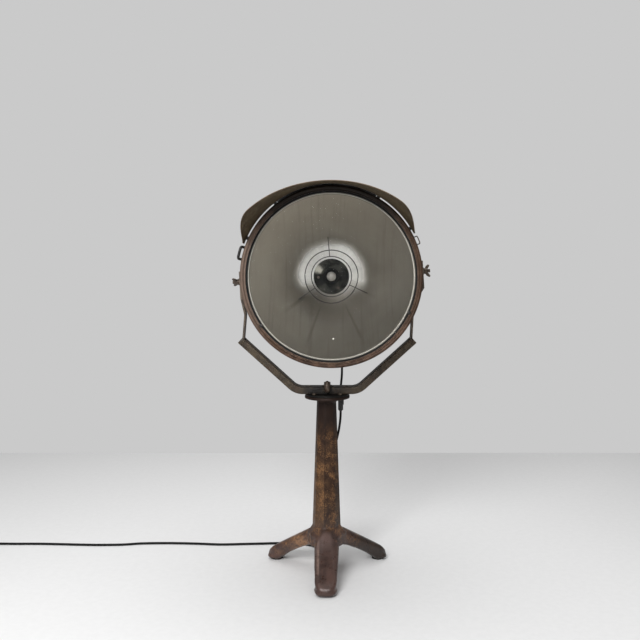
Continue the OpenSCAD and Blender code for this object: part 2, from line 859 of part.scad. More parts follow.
// Four tabs, and the packing strip that closes the gap at the top
module visor_tabs() {
    reach = visor_gap - 2 * apart - 1;
    color("#2b2622") head_frame() {
        for (a = tab_angles) rotate([0, a, 0])
            translate([-tab_w / 2, -ring_front + 5, ring_r + apart]) cube([tab_w, 11, reach]);
        rotate([90, 0, 0]) rotate(90 - strip_half) rotate_extrude(angle = 2 * strip_half, $fn = 128)
            translate([ring_r + apart, visor_f + 1]) square([strip_t, strip_w]);
    }
}

// A clip: its pivot, two legs and the bar that lies over the ring
module clip(r, half) {
    leg = [0, clip_pivot_f - clip_bar_f, clip_bar_r - clip_pivot_r];
    leg_w = 1.8 * r;
    translate([0, -clip_pivot_f, clip_pivot_r]) {
        along_x(-half) cylinder(r = r, h = 2 * half, $fn = 24);
        translate(leg) along_x(-half) cylinder(r = r, h = 2 * half, $fn = 24);
        for (s = [-1, 1]) translate([s * half, 0, 0]) rotate([90 + atan(leg[2] / leg[1]), 0, 0])
            translate([-leg_w / 2, -leg_w / 2, 0]) cube([leg_w, leg_w, norm(leg)]);
    }
}

module left_clip() {
    color("#171615") head_frame() rotate([0, clip_turns[0], 0]) clip(left_clip_r, left_clip_half);
}

module right_clip() {
    color("#4b4742") head_frame() rotate([0, clip_turns[1], 0]) clip(right_clip_r, right_clip_half);
}

module clip_lug_pair(r, half) {
    at = half - r - lug_gap - lug_t / 2;
    for (s = [-1, 1]) difference() {
        translate([s * at - lug_t / 2, -clip_pivot_f - lug_deep / 2, drum_r + apart / 2])
            cube([lug_t, lug_deep, clip_pivot_r - drum_r + r + 2]);
        translate([0, -clip_pivot_f, clip_pivot_r]) along_x(-half) cylinder(r = r + fit, h = 2 * half);
    }
}

module clip_lugs() {
    color("#4a3b31") head_frame() {
        rotate([0, clip_turns[0], 0]) clip_lug_pair(left_clip_r, left_clip_half);
        rotate([0, clip_turns[1], 0]) clip_lug_pair(right_clip_r, right_clip_half);
    }
}

// Cord
module upper_cord() {
    color("#151515") tube(smooth(upper_route, cord_step), cord_r, cord_sides);
}

module lower_cord() {
    color("#151515") tube(smooth(lower_route, cord_step), cord_r, cord_sides);
}

// The coil winds in on the floor and out again on top of itself
half_layer = (coil_turns - 0.5) / 2;

function coil_height(t) = coil_pitch * min(1, max(0, (t - half_layer) / 0.5));

function coil_point(t) = let (
    r = coil_r - coil_pitch * (t < coil_turns / 2 ? t : coil_turns - t),
    a = 90 + 360 * t
) coil_at + [r * cos(a), r * sin(a), coil_height(t)];

coil_end = coil_point(coil_turns);
coil_loops = [for (i = [0:round(coil_turns * coil_loop_rings)]) coil_point(i / coil_loop_rings)];
coil_path = concat(
    [coil_at + [coil_lead, coil_r, 0]],
    coil_loops,
    [
        coil_end + [0, -14, 1.2], coil_end + [0, -28, 4.2],
        [coil_end[0], coil_end[1] - plug_lead + coil_lead, plug_z],
        [coil_end[0], coil_end[1] - plug_lead, plug_z]
    ]
);

// Least gap between turns of the coil, measured between its points
coil_gaps = [
    for (i = [0:len(coil_loops) - 1]) for (j = [i + coil_loop_rings / 2:1:len(coil_loops) - 1])
        norm(coil_loops[i] - coil_loops[j])
];
echo(least_coil_gap = min(coil_gaps) - 2 * cord_r);

module cord_coil() {
    color("#151515") tube(coil_path, cord_r, coil_sides);
}

// A strap closed round the turns on the near side of the coil
module coil_tie() {
    inner = coil_r - coil_pitch * coil_turns / 2 - cord_r - apart;
    outer = coil_r - coil_pitch / 2 + cord_r + 2 * apart;
    low = -cord_r - apart;
    high = coil_pitch + cord_r + apart;
    color("#101010") translate(coil_at) rotate(-90) translate([0, -tie_w / 2, 0]) difference() {
        translate([inner - tie_t, 0, low - tie_t])
            cube([outer - inner + 2 * tie_t, tie_w, high - low + 2 * tie_t]);
        translate([inner, -over, low]) cube([outer - inner, tie_w + 2 * over, high - low]);
    }
}

module at_plug() {
    translate([coil_end[0], coil_end[1] - plug_lead, plug_z]) rotate([90, 0, 0]) children();
}

module plug_body() {
    color("#181818") at_plug() difference() {
        union() {
            cylinder(r1 = cord_r + 1.5, r2 = 9, h = plug_neck);
            translate([0, 0, plug_neck - over]) cylinder(r = plug_r, h = plug_len + over);
        }
        for (s = [-1, 1]) translate([s * plug_pin_gap / 2, 0, plug_neck + plug_len - 10])
            cylinder(r = plug_pin_r + fit, h = 10 + over);
    }
}

module plug_pins() {
    color("#c9c6be") at_plug() for (s = [-1, 1])
        translate([s * plug_pin_gap / 2, 0, plug_neck + plug_len - 10])
            cylinder(r = plug_pin_r, h = 10 + plug_pin_len);
}

// Switch on the cord: two half shells and a rocker on the right side
module switch_block(inset) {
    low = switch_bottom + switch_bush + inset;
    high = switch_top - switch_bush - inset;
    x = switch_w / 2 - inset;
    y = switch_deep / 2 - inset;
    r = switch_edge - inset;
    translate([0, 0, low]) {
        translate([-x, r - y, 0]) cube([2 * x, 2 * (y - r), high - low]);
        translate([r - x, -y, 0]) cube([2 * (x - r), 2 * y, high - low]);
        for (sx = [-1, 1]) for (sy = [-1, 1]) translate([sx * (x - r), sy * (y - r), 0])
            cylinder(r = r, h = high - low, $fn = 32);
    }
}

module switch_shell(s) {
    mid_z = (switch_top + switch_bottom) / 2;
    color("#171717") translate([switch_at[0], switch_at[1], 0]) difference() {
        intersection() {
            union() {
                switch_block(0);
                translate([0, 0, switch_bottom])
                    cylinder(r = switch_bush_r, h = switch_top - switch_bottom);
            }
            translate([s < 0 ? -switch_w : 0, -switch_deep, switch_bottom - over])
                cube([switch_w, 2 * switch_deep, switch_top - switch_bottom + 2 * over]);
        }
        switch_block(switch_wall);
        translate([switch_w / 2 - 3 * switch_wall, -rocker_w / 2 - apart, mid_z - rocker_len / 2 - 0.6])
            cube([6 * switch_wall, rocker_w + 2 * apart, rocker_len + 1.2]);
    }
}

module switch_left_shell() {
    switch_shell(-1);
}

module switch_right_shell() {
    switch_shell(1);
}

module switch_rocker() {
    mid_z = (switch_top + switch_bottom) / 2;
    color("#1e1e1e") translate([switch_at[0] + switch_w / 2 - rocker_t + 2, switch_at[1], mid_z]) {
        translate([0, -rocker_w / 2, -rocker_len / 2]) cube([rocker_t, rocker_w, rocker_len]);
        rotate([90, 0, 0]) cylinder(r = rocker_pin_r, h = rocker_w, center = true, $fn = 24);
    }
}

pedestal();
foot_pads();
pan_stud();
pan_lever();
swivel_plate();
plate_bolts();
fork();
fork_bolts();
pan_washer();
left_strap();
right_strap();
strap_bolts();
pivot_washers();
left_wing_nut();
right_wing_nut();
housing();
rear_cover();
cover_screws();
pivot_brackets();
pivot_bolts();
reflector();
holder_plate();
holder_screws();
lamp_holder();
bulb_cap();
bulb();
wire_guard();
cable_gland();
gland_nut();
inner_lead();
clip_lugs();
front_ring();
glass_seal();
front_glass();
glass_clips();
visor();
visor_tabs();
left_clip();
right_clip();
upper_cord();
switch_left_shell();
switch_right_shell();
switch_rocker();
lower_cord();
cord_coil();
coil_tie();
plug_body();
plug_pins();
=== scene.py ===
"""Looks of the spotlight floor lamp: camera, cords, refined pieces, finishes and studio.

Outlines and routes are in millimetres, finishes and places in metres.
"""

import json
import math

import bmesh
import bpy
from mathutils import Matrix, Vector

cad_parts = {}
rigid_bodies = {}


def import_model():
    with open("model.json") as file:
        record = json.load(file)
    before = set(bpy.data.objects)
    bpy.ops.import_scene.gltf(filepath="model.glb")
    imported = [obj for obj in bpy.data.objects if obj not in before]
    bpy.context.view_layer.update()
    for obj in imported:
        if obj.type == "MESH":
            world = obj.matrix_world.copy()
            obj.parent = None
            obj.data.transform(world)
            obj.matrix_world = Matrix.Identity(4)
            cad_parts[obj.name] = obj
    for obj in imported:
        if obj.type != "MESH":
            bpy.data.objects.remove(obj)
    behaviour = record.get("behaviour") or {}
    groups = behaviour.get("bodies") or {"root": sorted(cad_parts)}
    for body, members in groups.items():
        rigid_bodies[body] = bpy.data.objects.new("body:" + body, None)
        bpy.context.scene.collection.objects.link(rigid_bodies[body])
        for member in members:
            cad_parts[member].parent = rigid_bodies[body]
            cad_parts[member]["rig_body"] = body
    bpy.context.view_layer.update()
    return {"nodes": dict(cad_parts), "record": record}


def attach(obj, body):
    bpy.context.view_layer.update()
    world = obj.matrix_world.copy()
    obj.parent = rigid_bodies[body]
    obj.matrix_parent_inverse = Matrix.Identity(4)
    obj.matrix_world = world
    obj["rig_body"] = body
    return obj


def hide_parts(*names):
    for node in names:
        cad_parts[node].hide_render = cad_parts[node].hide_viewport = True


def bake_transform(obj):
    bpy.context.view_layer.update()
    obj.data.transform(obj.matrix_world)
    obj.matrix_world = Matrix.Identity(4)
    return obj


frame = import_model()
nodes = frame["nodes"]
slots = {s["node"]: s["material_slot"] for s in frame["record"]["subparts"]}

MM = 0.001
HEAD_Z = 0.847
HEAD_ROLL = -3.4
HEAD = Matrix.Translation((0, 0, HEAD_Z)) @ Matrix.Rotation(math.radians(HEAD_ROLL), 4, "Y")
COLUMN_X = -0.012
COLUMN = Matrix.Translation((COLUMN_X, 0, 0))
SHAFT_X = COLUMN_X - 2 * MM  # the cast column stands a little left of the swivel's axis

# ---------------------------------------------------------------- camera
# Level with the head and 2.2 m in front of it; lens and shifts were fitted to the photo.
lens = bpy.data.cameras.new("photo_camera")
lens.lens = 42.71
lens.sensor_width = 36
lens.shift_x = -0.0178
lens.shift_y = -0.068
lens.clip_start = 0.05
camera = bpy.data.objects.new("photo_camera", lens)
camera.location = (0, -2.2, HEAD_Z)
camera.rotation_euler = (math.radians(90), 0, 0)
bpy.context.scene.collection.objects.link(camera)
bpy.context.scene.camera = camera


# ---------------------------------------------------------------- shared makers
def smooth_line(points, step):
    """Points about step apart on a smooth line through points."""
    p = [Vector(q) for q in points]
    line = []
    for i in range(len(p) - 1):
        a, b, c, d = p[max(i - 1, 0)], p[i], p[i + 1], p[min(i + 2, len(p) - 1)]
        count = max(1, round((c - b).length / step))
        for k in range(count):
            t = k / count
            line.append(0.5 * (2 * b + (c - a) * t + (2 * a - 5 * b + 4 * c - d) * t * t
                               + (3 * b - a - 3 * c + d) * t ** 3))
    return line + [p[-1]]


def tube(name, line, radius, rings=5, closed=False):
    """A round bar along line, as a mesh with closed ends."""
    shape = bpy.data.curves.new(name, "CURVE")
    shape.dimensions = "3D"
    shape.bevel_depth = radius
    shape.bevel_resolution = rings
    shape.use_fill_caps = True
    spline = shape.splines.new("POLY")
    spline.points.add(len(line) - 1)
    for point, at in zip(spline.points, line):
        point.co = (*at, 1)
    spline.use_cyclic_u = closed
    made = bpy.data.objects.new(name + "_line", shape)
    bpy.context.scene.collection.objects.link(made)
    bpy.context.view_layer.update()
    ready = made.evaluated_get(bpy.context.evaluated_depsgraph_get())
    mesh = bpy.data.meshes.new_from_object(ready)
    bpy.data.objects.remove(made)
    bpy.data.curves.remove(shape)
    mesh.materials.clear()
    bar = bpy.data.objects.new(name, mesh)
    bar.data.name = name
    bpy.context.scene.collection.objects.link(bar)
    mesh.shade_smooth()
    mesh.set_sharp_from_angle(angle=math.radians(50))
    return bar


# ---------------------------------------------------------------- cords
CORD_R = 3.5 * MM
# From the gland in the rear cover down to the switch.
UPPER_ROUTE = [
    (0, 297, 847), (0, 314, 846), (1, 330, 838), (3, 342, 821), (6, 348, 796), (10, 347, 760),
    (15, 338, 722), (20, 322, 686), (25, 298, 650), (29, 268, 620), (32, 234, 594), (33, 197, 573),
    (33, 166, 557), (32, 140, 540), (29.8, 121.5, 521.5), (28.2, 111.5, 508), (28, 110, 499),
]
# From the switch down behind the column and along the floor to the coil.
LOWER_ROUTE = [
    (28, 110, 439), (28, 110, 427), (26.5, 109, 407), (22, 107, 378), (14, 104, 344), (2, 101, 297),
    (-8, 99, 237), (-14, 98, 176), (-16, 100, 119), (-19, 107, 69), (-24, 122, 32), (-31, 143, 12),
    (-44, 164, 5), (-68, 184, 3.9), (-108, 198, 3.6), (-150, 202, 3.6), (-190, 200, 3.6),
    (-280, 194, 3.6), (-350, 190, 3.6), (-430, 198, 3.6), (-520, 202, 3.6), (-600, 199, 3.6),
    (-655, 189, 3.6), (-725, 186, 3.6), (-785, 188, 3.6), (-845, 192, 3.6), (-920, 196, 3.6),
    (-1000, 196, 3.6), (-1060, 196, 4.2), (-1102, 196, 4.8),
]
COIL_AT = Vector((-1110, 150, 4.8))
COIL_R = 46
COIL_PITCH = 7.6
COIL_TURNS = 5.25
COIL_STEPS = 48


def coil_point(turn):
    """The coil winds in on the floor and out again on top of itself."""
    r = COIL_R - COIL_PITCH * min(turn, COIL_TURNS - turn)
    a = math.radians(90 + 360 * turn)
    rise = min(1, max(0, (turn - (COIL_TURNS - 0.5) / 2) / 0.5))
    return COIL_AT + Vector((r * math.cos(a), r * math.sin(a), COIL_PITCH * rise))


def in_metres(line):
    """The same points, measured as Blender does."""
    return [Vector(p) * MM for p in line]


upper_line = in_metres(smooth_line(UPPER_ROUTE, 5))
upper_cord = tube("upper_cord_bent", upper_line, CORD_R)
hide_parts("upper_cord")

coil_end = coil_point(COIL_TURNS)
coil_tail = [coil_end + Vector(d) for d in ((0, 0, 0), (0, -14, 1.2), (0, -28, 4.2), (0, -38, 4.9), (0, -46, 4.9))]
coil_loops = [coil_point(i / COIL_STEPS) for i in range(round(COIL_TURNS * COIL_STEPS))]
lower_line = in_metres(smooth_line(LOWER_ROUTE, 6) + coil_loops + smooth_line(coil_tail, 4))
lower_cord = tube("lower_cord_bent", lower_line, CORD_R)
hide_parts("lower_cord", "cord_coil")

# ---------------------------------------------------------------- finishes
def srgb(r, g, b):
    """A colour given on a 0-255 screen, as the renderer counts light."""
    return tuple((c / 255 / 12.92) if c < 11 else ((c / 255 + 0.055) / 1.055) ** 2.4 for c in (r, g, b))


class Finish:
    """A material under construction, with short ways to add its layers."""

    def __init__(self, name):
        self.material = bpy.data.materials.new(name)
        self.material.use_nodes = True
        self.tree = self.material.node_tree
        self.tree.nodes.clear()
        self.surface = self.add("BsdfPrincipled")
        self.output = self.add("OutputMaterial")
        self.link(self.surface.outputs["BSDF"], self.output.inputs["Surface"])
        self.place = self.add("TexCoord").outputs["Object"]

    def link(self, a, b):
        self.tree.links.new(a, b)

    def add(self, kind, inputs=None, **settings):
        made = self.tree.nodes.new("ShaderNode" + kind)
        for key, value in settings.items():
            setattr(made, key, value)
        for key, value in (inputs or {}).items():
            self.put(made.inputs[key], value)
        return made

    def put(self, socket, value):
        """Feeds a socket with another node's output, a colour or a number."""
        if isinstance(value, bpy.types.NodeSocket):
            self.link(value, socket)
        elif isinstance(value, tuple) and len(value) == 3 and socket.type == "RGBA":
            socket.default_value = (*value, 1)
        else:
            socket.default_value = value

    def set(self, **inputs):
        for key, value in inputs.items():
            self.put(self.surface.inputs[key.replace("_", " ").title().replace("Ior", "IOR")], value)

    def maths(self, how, a, b=0.0):
        return self.add("Math", {0: a, 1: b}, operation=how).outputs[0]

    def sum(self, a, b):
        return self.maths("ADD", a, b)

    def times(self, first, *others):
        for other in others:
            first = self.maths("MULTIPLY", first, other)
        return first

    def noise(self, scale, detail=5, rough=0.6, at=None, distort=0.0):
        return self.add("TexNoise", {"Vector": at or self.place, "Scale": scale, "Detail": detail,
                                     "Roughness": rough, "Distortion": distort}).outputs["Fac"]

    def stretched(self, x, y, z):
        """The object's coordinates, squeezed so that a noise runs in streaks."""
        return self.add("VectorMath", {0: self.place, 1: (x, y, z)}, operation="MULTIPLY").outputs[0]

    def along(self, value):
        """Coordinates that follow one value only, so that a noise runs in rings or rays."""
        return self.add("CombineXYZ", {0: value}).outputs[0]

    def axis(self, name):
        return self.add("SeparateXYZ", {0: self.place}).outputs[name]

    def round_the_head(self):
        """Across, up, distance and angle from the head's middle, seen from the front."""
        x, z = self.axis("X"), self.sum(self.axis("Z"), -HEAD_Z)
        reach = self.maths("POWER", self.sum(self.times(x, x), self.times(z, z)), 0.5)
        return x, z, reach, self.maths("ARCTAN2", z, x)

    def ease(self, value, low, high, out_low=0.0, out_high=1.0):
        """A soft step from out_low, where value is low, to out_high."""
        return self.add("MapRange", {"Value": value, "From Min": low, "From Max": high, "To Min": out_low,
                                     "To Max": out_high}, interpolation_type="SMOOTHSTEP").outputs["Result"]

    def mix(self, share, a, b):
        made = self.add("Mix", data_type="RGBA", clamp_factor=True)
        for socket, value in ((made.inputs[0], share), (made.inputs[6], a), (made.inputs[7], b)):
            self.put(socket, value)
        return made.outputs[2]

    def coat(self, colour, tone, share, *masks):
        """Lays a tone over a colour, at most by share, where every mask is 1."""
        return self.mix(self.times(*masks, share), colour, tone)

    def edges(self, width):
        """1 where the surface turns over an edge, 0 on flat ground."""
        soft = self.add("Bevel", {"Radius": width * MM}, samples=4).outputs[0]
        hard = self.add("NewGeometry").outputs["Normal"]
        same = self.add("VectorMath", {0: soft, 1: hard}, operation="DOT_PRODUCT").outputs["Value"]
        return self.ease(same, 0.995, 0.86)

    def bump(self, height, strength, depth=0.6):
        made = self.add("Bump", {"Height": height, "Strength": strength, "Distance": depth * MM})
        self.link(made.outputs[0], self.surface.inputs["Normal"])


def worn_paint(name, dark, light, patch, edge, rough, metal, grain, speck=None, tint=None, shine=0.5):
    """Old paint on steel: cloudy colour, specks of rust and worn edges.

    edge is colour, width and share; speck is colour, fineness and share; grain is depth and fineness.
    """
    f = Finish(name)
    cloud = f.noise(patch, 7, 0.65, distort=0.4)
    colour = f.mix(f.ease(cloud, 0.36, 0.66), dark, light)
    if speck:
        speck_colour, speck_scale, speck_share = speck
        fine = f.sum(f.noise(speck_scale, 4, 0.75), f.noise(speck_scale / 9, 3, 0.6))
        spots = f.ease(fine, 1.16 - speck_share * 0.3, 1.28 - speck_share * 0.3)
        colour = f.mix(spots, colour, speck_colour)
    edge_colour, edge_width, edge_share = edge
    patchy = f.ease(f.noise(90, 4, 0.7), 0.35, 0.6, 0.15, 1)
    colour = f.coat(colour, edge_colour, edge_share, f.edges(edge_width), patchy)
    if tint:
        colour = tint(f, colour)
    f.set(base_color=colour, metallic=metal, specular_ior_level=shine,
          roughness=f.ease(f.noise(patch * 5, 5, 0.7), 0.3, 0.7, *rough))
    strength, scale = grain
    f.bump(f.sum(f.noise(scale, 5, 0.65), f.noise(scale / 7, 4, 0.6)), strength)
    return f.material


def plain_finish(name, colour, rough, metal=0.0, grain=(0.12, 900), shade=0.25, shine=0.5):
    """An even finish with the small unevenness every surface has."""
    f = Finish(name)
    deep = tuple(c * (1 - shade) for c in colour)
    f.set(base_color=f.mix(f.ease(f.noise(55, 5, 0.6), 0.3, 0.7), deep, colour), metallic=metal,
          specular_ior_level=shine, roughness=f.ease(f.noise(130, 4, 0.6), 0.3, 0.7, *rough))
    strength, scale = grain
    f.bump(f.noise(scale, 4, 0.6), strength, 0.3)
    return f.material


def oily_middle(f, colour):
    """Black grease on the fork round the swivel, a little to its left."""
    x = f.axis("X")
    near = f.times(f.ease(x, -0.103, -0.058), f.ease(x, 0.055, 0.012), f.ease(f.axis("Z"), 0.56, 0.535))
    return f.coat(colour, srgb(17, 15, 14), 0.93, near, f.ease(f.noise(38, 5, 0.7), 0.36, 0.52))


def painted_side_light_and_visor_shadow(f, colour):
    """Painted light on the ring: paler on its left where light falls, painted shade on its right, and a painted shadow
    blackening its top under the visor.
    """
    x = f.axis("X")
    left = f.ease(f.sum(x, f.times(f.noise(26, 5, 0.7), 0.12)), -0.08, -0.2)
    high = f.ease(f.sum(f.axis("Z"), f.times(f.noise(30, 5, 0.7), 0.12)), 1.03, 1.11)
    colour = f.coat(colour, srgb(116, 99, 88), 0.7, left)
    colour = f.coat(colour, srgb(66, 48, 34), 0.4, f.ease(x, 0.12, 0.24))
    return f.coat(colour, srgb(15, 11, 7), 0.9, high)


def rusty_casting():
    """Purple-brown iron: smooth on the toes, specked with rust on the column, black at its top, with painted light and
    shade on the column's faces and on the toes.
    """
    f = Finish("cast_iron")
    height = f.sum(f.axis("Z"), f.times(f.noise(11, 4, 0.6), 0.09))
    across, forward = f.sum(f.axis("X"), -SHAFT_X), f.axis("Y")
    column, low = f.ease(height, 0.14, 0.2), f.ease(height, 0.15, 0.12)
    iron = f.mix(f.ease(f.noise(20, 7, 0.65, distort=0.5), 0.36, 0.66), srgb(54, 38, 33), srgb(82, 60, 53))
    bare = f.mix(f.ease(f.noise(30, 7, 0.7), 0.4, 0.62), srgb(46, 32, 25), srgb(72, 52, 37))
    colour = f.mix(column, iron, bare)

    # The column's left front face is painted paler than the right one beside it: painted light from the left.
    off_edge = f.sum(f.sum(across, 0.0061), f.times(f.axis("Z"), -0.0048))
    lit_left_face = f.times(f.ease(off_edge, 0.0008, -0.0008), f.ease(height, 0.44, 0.28), column)
    colour = f.coat(colour, srgb(112, 83, 56), 0.34, lit_left_face, f.ease(f.noise(38, 5, 0.7), 0.3, 0.6))

    # Rust specks, fewer on the toes and none on the front toe up to its round knuckle.
    specks = f.ease(f.sum(f.noise(380, 3, 0.8), f.times(f.noise(46, 4, 0.65), 0.8)), 0.93, 1.05)
    knuckle = f.sum(forward, f.times(across, across, 39))
    toes = f.times(f.ease(height, 0.06, 0.11, 0.2, 1), f.ease(knuckle, -0.05, -0.03))
    colour = f.coat(colour, srgb(146, 106, 70), 0.66, specks, f.ease(height, 0.5, 0.4),
                    f.maths("MAXIMUM", toes, column))

    # The left toe is pale with rust beside the hub; the right toe is painted darker towards its end, as painted shade.
    beside_hub = f.times(f.ease(across, -0.04, -0.06), f.ease(across, -0.12, -0.08), low)
    colour = f.coat(colour, srgb(158, 118, 84), 0.75, beside_hub, f.ease(f.noise(120, 6, 0.75), 0.36, 0.6))
    colour = f.coat(colour, srgb(34, 25, 19), 0.8, f.ease(across, 0.05, 0.11), low)

    # A painted highlight runs along the front toe's left edge, and another lies on top of its round knuckle.
    edge_highlight = f.times(f.ease(across, -0.0285, -0.0245), f.ease(across, -0.018, -0.022),
                     f.ease(knuckle, -0.03, -0.06), f.ease(forward, -0.19, -0.14))
    colour = f.coat(colour, srgb(156, 130, 118), 0.55, edge_highlight, f.ease(f.noise(55, 5, 0.7), 0.3, 0.6))
    dome = f.times(f.ease(knuckle, -0.042, -0.06), f.ease(forward, -0.115, -0.075))
    colour = f.coat(colour, srgb(126, 106, 101), 0.4, dome, f.ease(across, 0.026, 0.004))

    # A painted shade line along the edge between the two front faces, pits, darker towards the top, worn edges.
    edge_shade_line = f.times(f.ease(f.maths("ABSOLUTE", off_edge), 0.002, 0.0006), column, f.ease(forward, -0.01, -0.02))
    colour = f.coat(colour, srgb(34, 24, 19), 0.8, edge_shade_line)
    colour = f.coat(colour, srgb(34, 25, 22), 0.65, f.ease(f.noise(330, 3, 0.7), 0.58, 0.68))
    colour = f.coat(colour, srgb(32, 22, 18), 0.9, f.ease(height, 0.37, 0.52))
    colour = f.coat(colour, srgb(140, 112, 92), 0.4, f.edges(2), f.ease(f.noise(80, 4, 0.7), 0.4, 0.65))

    f.set(base_color=colour, metallic=0.1, specular_ior_level=f.ease(height, 0.12, 0.3, 0.5, 0.15),
          roughness=f.sum(f.ease(f.noise(70, 5, 0.7), 0.3, 0.7, 0.25, 0.42), f.times(column, 0.22)))
    f.bump(f.sum(f.noise(420, 5, 0.65), f.noise(70, 4, 0.6)), 0.6)
    return f.material


# The bowl's clouded metal in two tones, its drips, the painted shade below the neck in the drips' colour, and streaks
# of angle, half width, start and end; the streaks at 92.5, -143 and -25 degrees are painted shadows of the guard's
# legs.
HAZE = (srgb(157, 152, 143), srgb(168, 164, 155))
HAZE_DRIP_AND_SHADE = srgb(112, 107, 99)
STREAKS_AND_LEG_SHADOWS = ((-110, 2.6, 0.085, 0.225), (-64, 2.6, 0.085, 0.225), (-143, 4, 0.085, 0.19), (-25, 4, 0.085, 0.16),
           (92.5, 2, 0.085, 0.15))


def spun_aluminium():
    """Dulled aluminium, polished near the neck and painted near-white there as a painted reflection, with drips,
    painted shade below the neck, streaks with painted shadows of the guard's legs, turning marks and a painted
    highlight on the rolled edge.
    """
    f = Finish("spun_aluminium")
    x, z, reach, angle = f.round_the_head()

    # Near the neck the metal is polished and painted near-white, a painted reflection of the light; it fades below the
    # neck and a little to the right, where less light falls.
    painted_halo = f.ease(f.sum(reach, f.times(f.noise(22, 4, 0.6), 0.018)), 0.128, 0.094)
    above = f.ease(f.sum(z, f.times(f.noise(20, 3), 0.03)), -0.05, 0.02)
    leftward = f.ease(f.maths("DIVIDE", x, reach), 1, 0.6, 0.8, 1)
    rays = f.noise(1, 4, 0.7, f.along(f.times(f.maths("ARCTAN2", x, z), 5.0)))
    painted_halo = f.times(painted_halo, above, leftward, f.ease(rays, 0.3, 0.7, 0.88, 1))

    haze = f.mix(f.ease(f.noise(7, 4, 0.6), 0.3, 0.7), *HAZE)
    haze = f.coat(haze, HAZE_DRIP_AND_SHADE, 0.22, f.ease(f.noise(1, 4, 0.6, f.stretched(95, 3, 2.4)), 0.5, 0.72))
    # Painted shade: the bowl is darker below the neck.
    haze = f.coat(haze, HAZE_DRIP_AND_SHADE, 0.6, f.ease(reach, 0.15, 0.09), f.ease(z, -0.005, -0.045))
    # Streaks; those at 92.5, -143 and -25 degrees are painted shadows of the guard's legs.
    for turn, wide, start, end in STREAKS_AND_LEG_SHADOWS:
        off = f.maths("ABSOLUTE", f.sum(angle, -math.radians(turn)))
        haze = f.coat(haze, HAZE_DRIP_AND_SHADE, 0.4, f.ease(off, math.radians(wide), 0),
                      f.ease(reach, start, start + 0.02), f.ease(reach, end, end - 0.06))

    # A painted highlight: a bright band on the rolled edge.
    lip_highlight = f.times(f.ease(reach, 0.2262, 0.2268), f.ease(reach, 0.2288, 0.228))
    rim = f.ease(reach, 0.2248, 0.2254)
    colour = f.mix(painted_halo, haze, srgb(250, 250, 246))
    colour = f.mix(rim, colour, f.mix(lip_highlight, srgb(118, 114, 105), srgb(184, 181, 171)))
    f.set(base_color=colour, metallic=f.ease(f.maths("MAXIMUM", painted_halo, rim), 0, 1, 1, 0.12),
          roughness=f.sum(f.ease(painted_halo, 0, 1, 0.42, 0.2), f.times(rim, 0.3)))
    turning_marks = f.noise(1, 2, 0.5, f.along(f.times(reach, 900.0)))
    f.bump(f.sum(turning_marks, f.noise(300, 4)), 0.06, 0.2)
    return f.material


def clear_glass():
    """Thin clear glass: see-through, with a faint sheen and dust."""
    f = Finish("clear_glass")
    dust = f.ease(f.noise(60, 6, 0.7), 0.45, 0.8, 0.0, 0.006)
    f.set(base_color=srgb(210, 214, 212), roughness=0.06, ior=1.3, alpha=f.sum(dust, 0.005))
    f.bump(f.noise(12, 2), 0.02, 0.3)
    return f.material


def opal():
    """The bulb's milky glass, grey with age."""
    f = Finish("opal_glass")
    f.set(base_color=f.mix(f.ease(f.noise(120, 4), 0.3, 0.7), srgb(112, 110, 104), srgb(130, 128, 121)),
          roughness=f.ease(f.noise(200, 3), 0.3, 0.7, 0.3, 0.42))
    f.bump(f.noise(700, 3), 0.05, 0.2)
    return f.material


def socket_metal():
    """Dark polished metal with one wedge-shaped painted highlight on its turned face."""
    f = Finish("socket_metal")
    _, _, reach, angle = f.round_the_head()
    # A painted highlight: a bright wedge at the upper left of the turned face.
    off = f.maths("ABSOLUTE", f.sum(angle, -math.radians(151)))
    fan_highlight = f.times(f.ease(f.sum(off, f.times(f.noise(90, 3), 0.3)), 0.52, 0.2), f.ease(reach, 0.03, 0.036))
    dark = f.mix(f.ease(f.noise(45, 4), 0.4, 0.65), srgb(20, 20, 18), srgb(58, 58, 53))
    f.set(base_color=f.mix(fan_highlight, dark, srgb(184, 182, 170)), specular_ior_level=0.06,
          roughness=f.ease(f.noise(150, 4), 0.3, 0.7, 0.5, 0.65))
    f.bump(f.noise(500, 4), 0.05, 0.2)
    return f.material


cast_iron = rusty_casting()
fork_paint = worn_paint("fork_paint", srgb(46, 38, 28), srgb(71, 60, 45), patch=26,
                        edge=(srgb(170, 150, 124), 1.6, 0.8),
                        rough=(0.42, 0.66), metal=0.15, grain=(0.5, 500), speck=(srgb(60, 46, 36), 300, 0.3),
                        tint=oily_middle, shine=0.35)
strap_paint = worn_paint("strap_paint", srgb(70, 60, 50), srgb(98, 86, 72), patch=26,
                         edge=(srgb(140, 125, 105), 1.2, 0.7),
                         rough=(0.42, 0.66), metal=0.2, grain=(0.4, 500), speck=(srgb(48, 38, 32), 300, 0.3))
ring_paint = worn_paint("ring_paint", srgb(54, 39, 30), srgb(86, 65, 52), patch=40,
                        edge=(srgb(170, 148, 128), 1.6, 0.7),
                        rough=(0.36, 0.6), metal=0.2, grain=(0.5, 420), speck=(srgb(50, 36, 27), 210, 0.4),
                        tint=painted_side_light_and_visor_shadow, shine=0.2)
drum_paint = worn_paint("drum_paint", srgb(88, 72, 58), srgb(120, 100, 82), patch=16,
                        edge=(srgb(165, 140, 116), 1.6, 0.6),
                        rough=(0.42, 0.66), metal=0.15, grain=(0.4, 420), speck=(srgb(70, 46, 32), 220, 0.3))
visor_paint = worn_paint("visor_paint", srgb(74, 63, 46), srgb(95, 82, 62), patch=20,
                         edge=(srgb(128, 98, 72), 2.2, 0.8),
                         rough=(0.5, 0.72), metal=0.1, grain=(0.3, 500), speck=(srgb(66, 48, 35), 230, 0.2), shine=0.25)
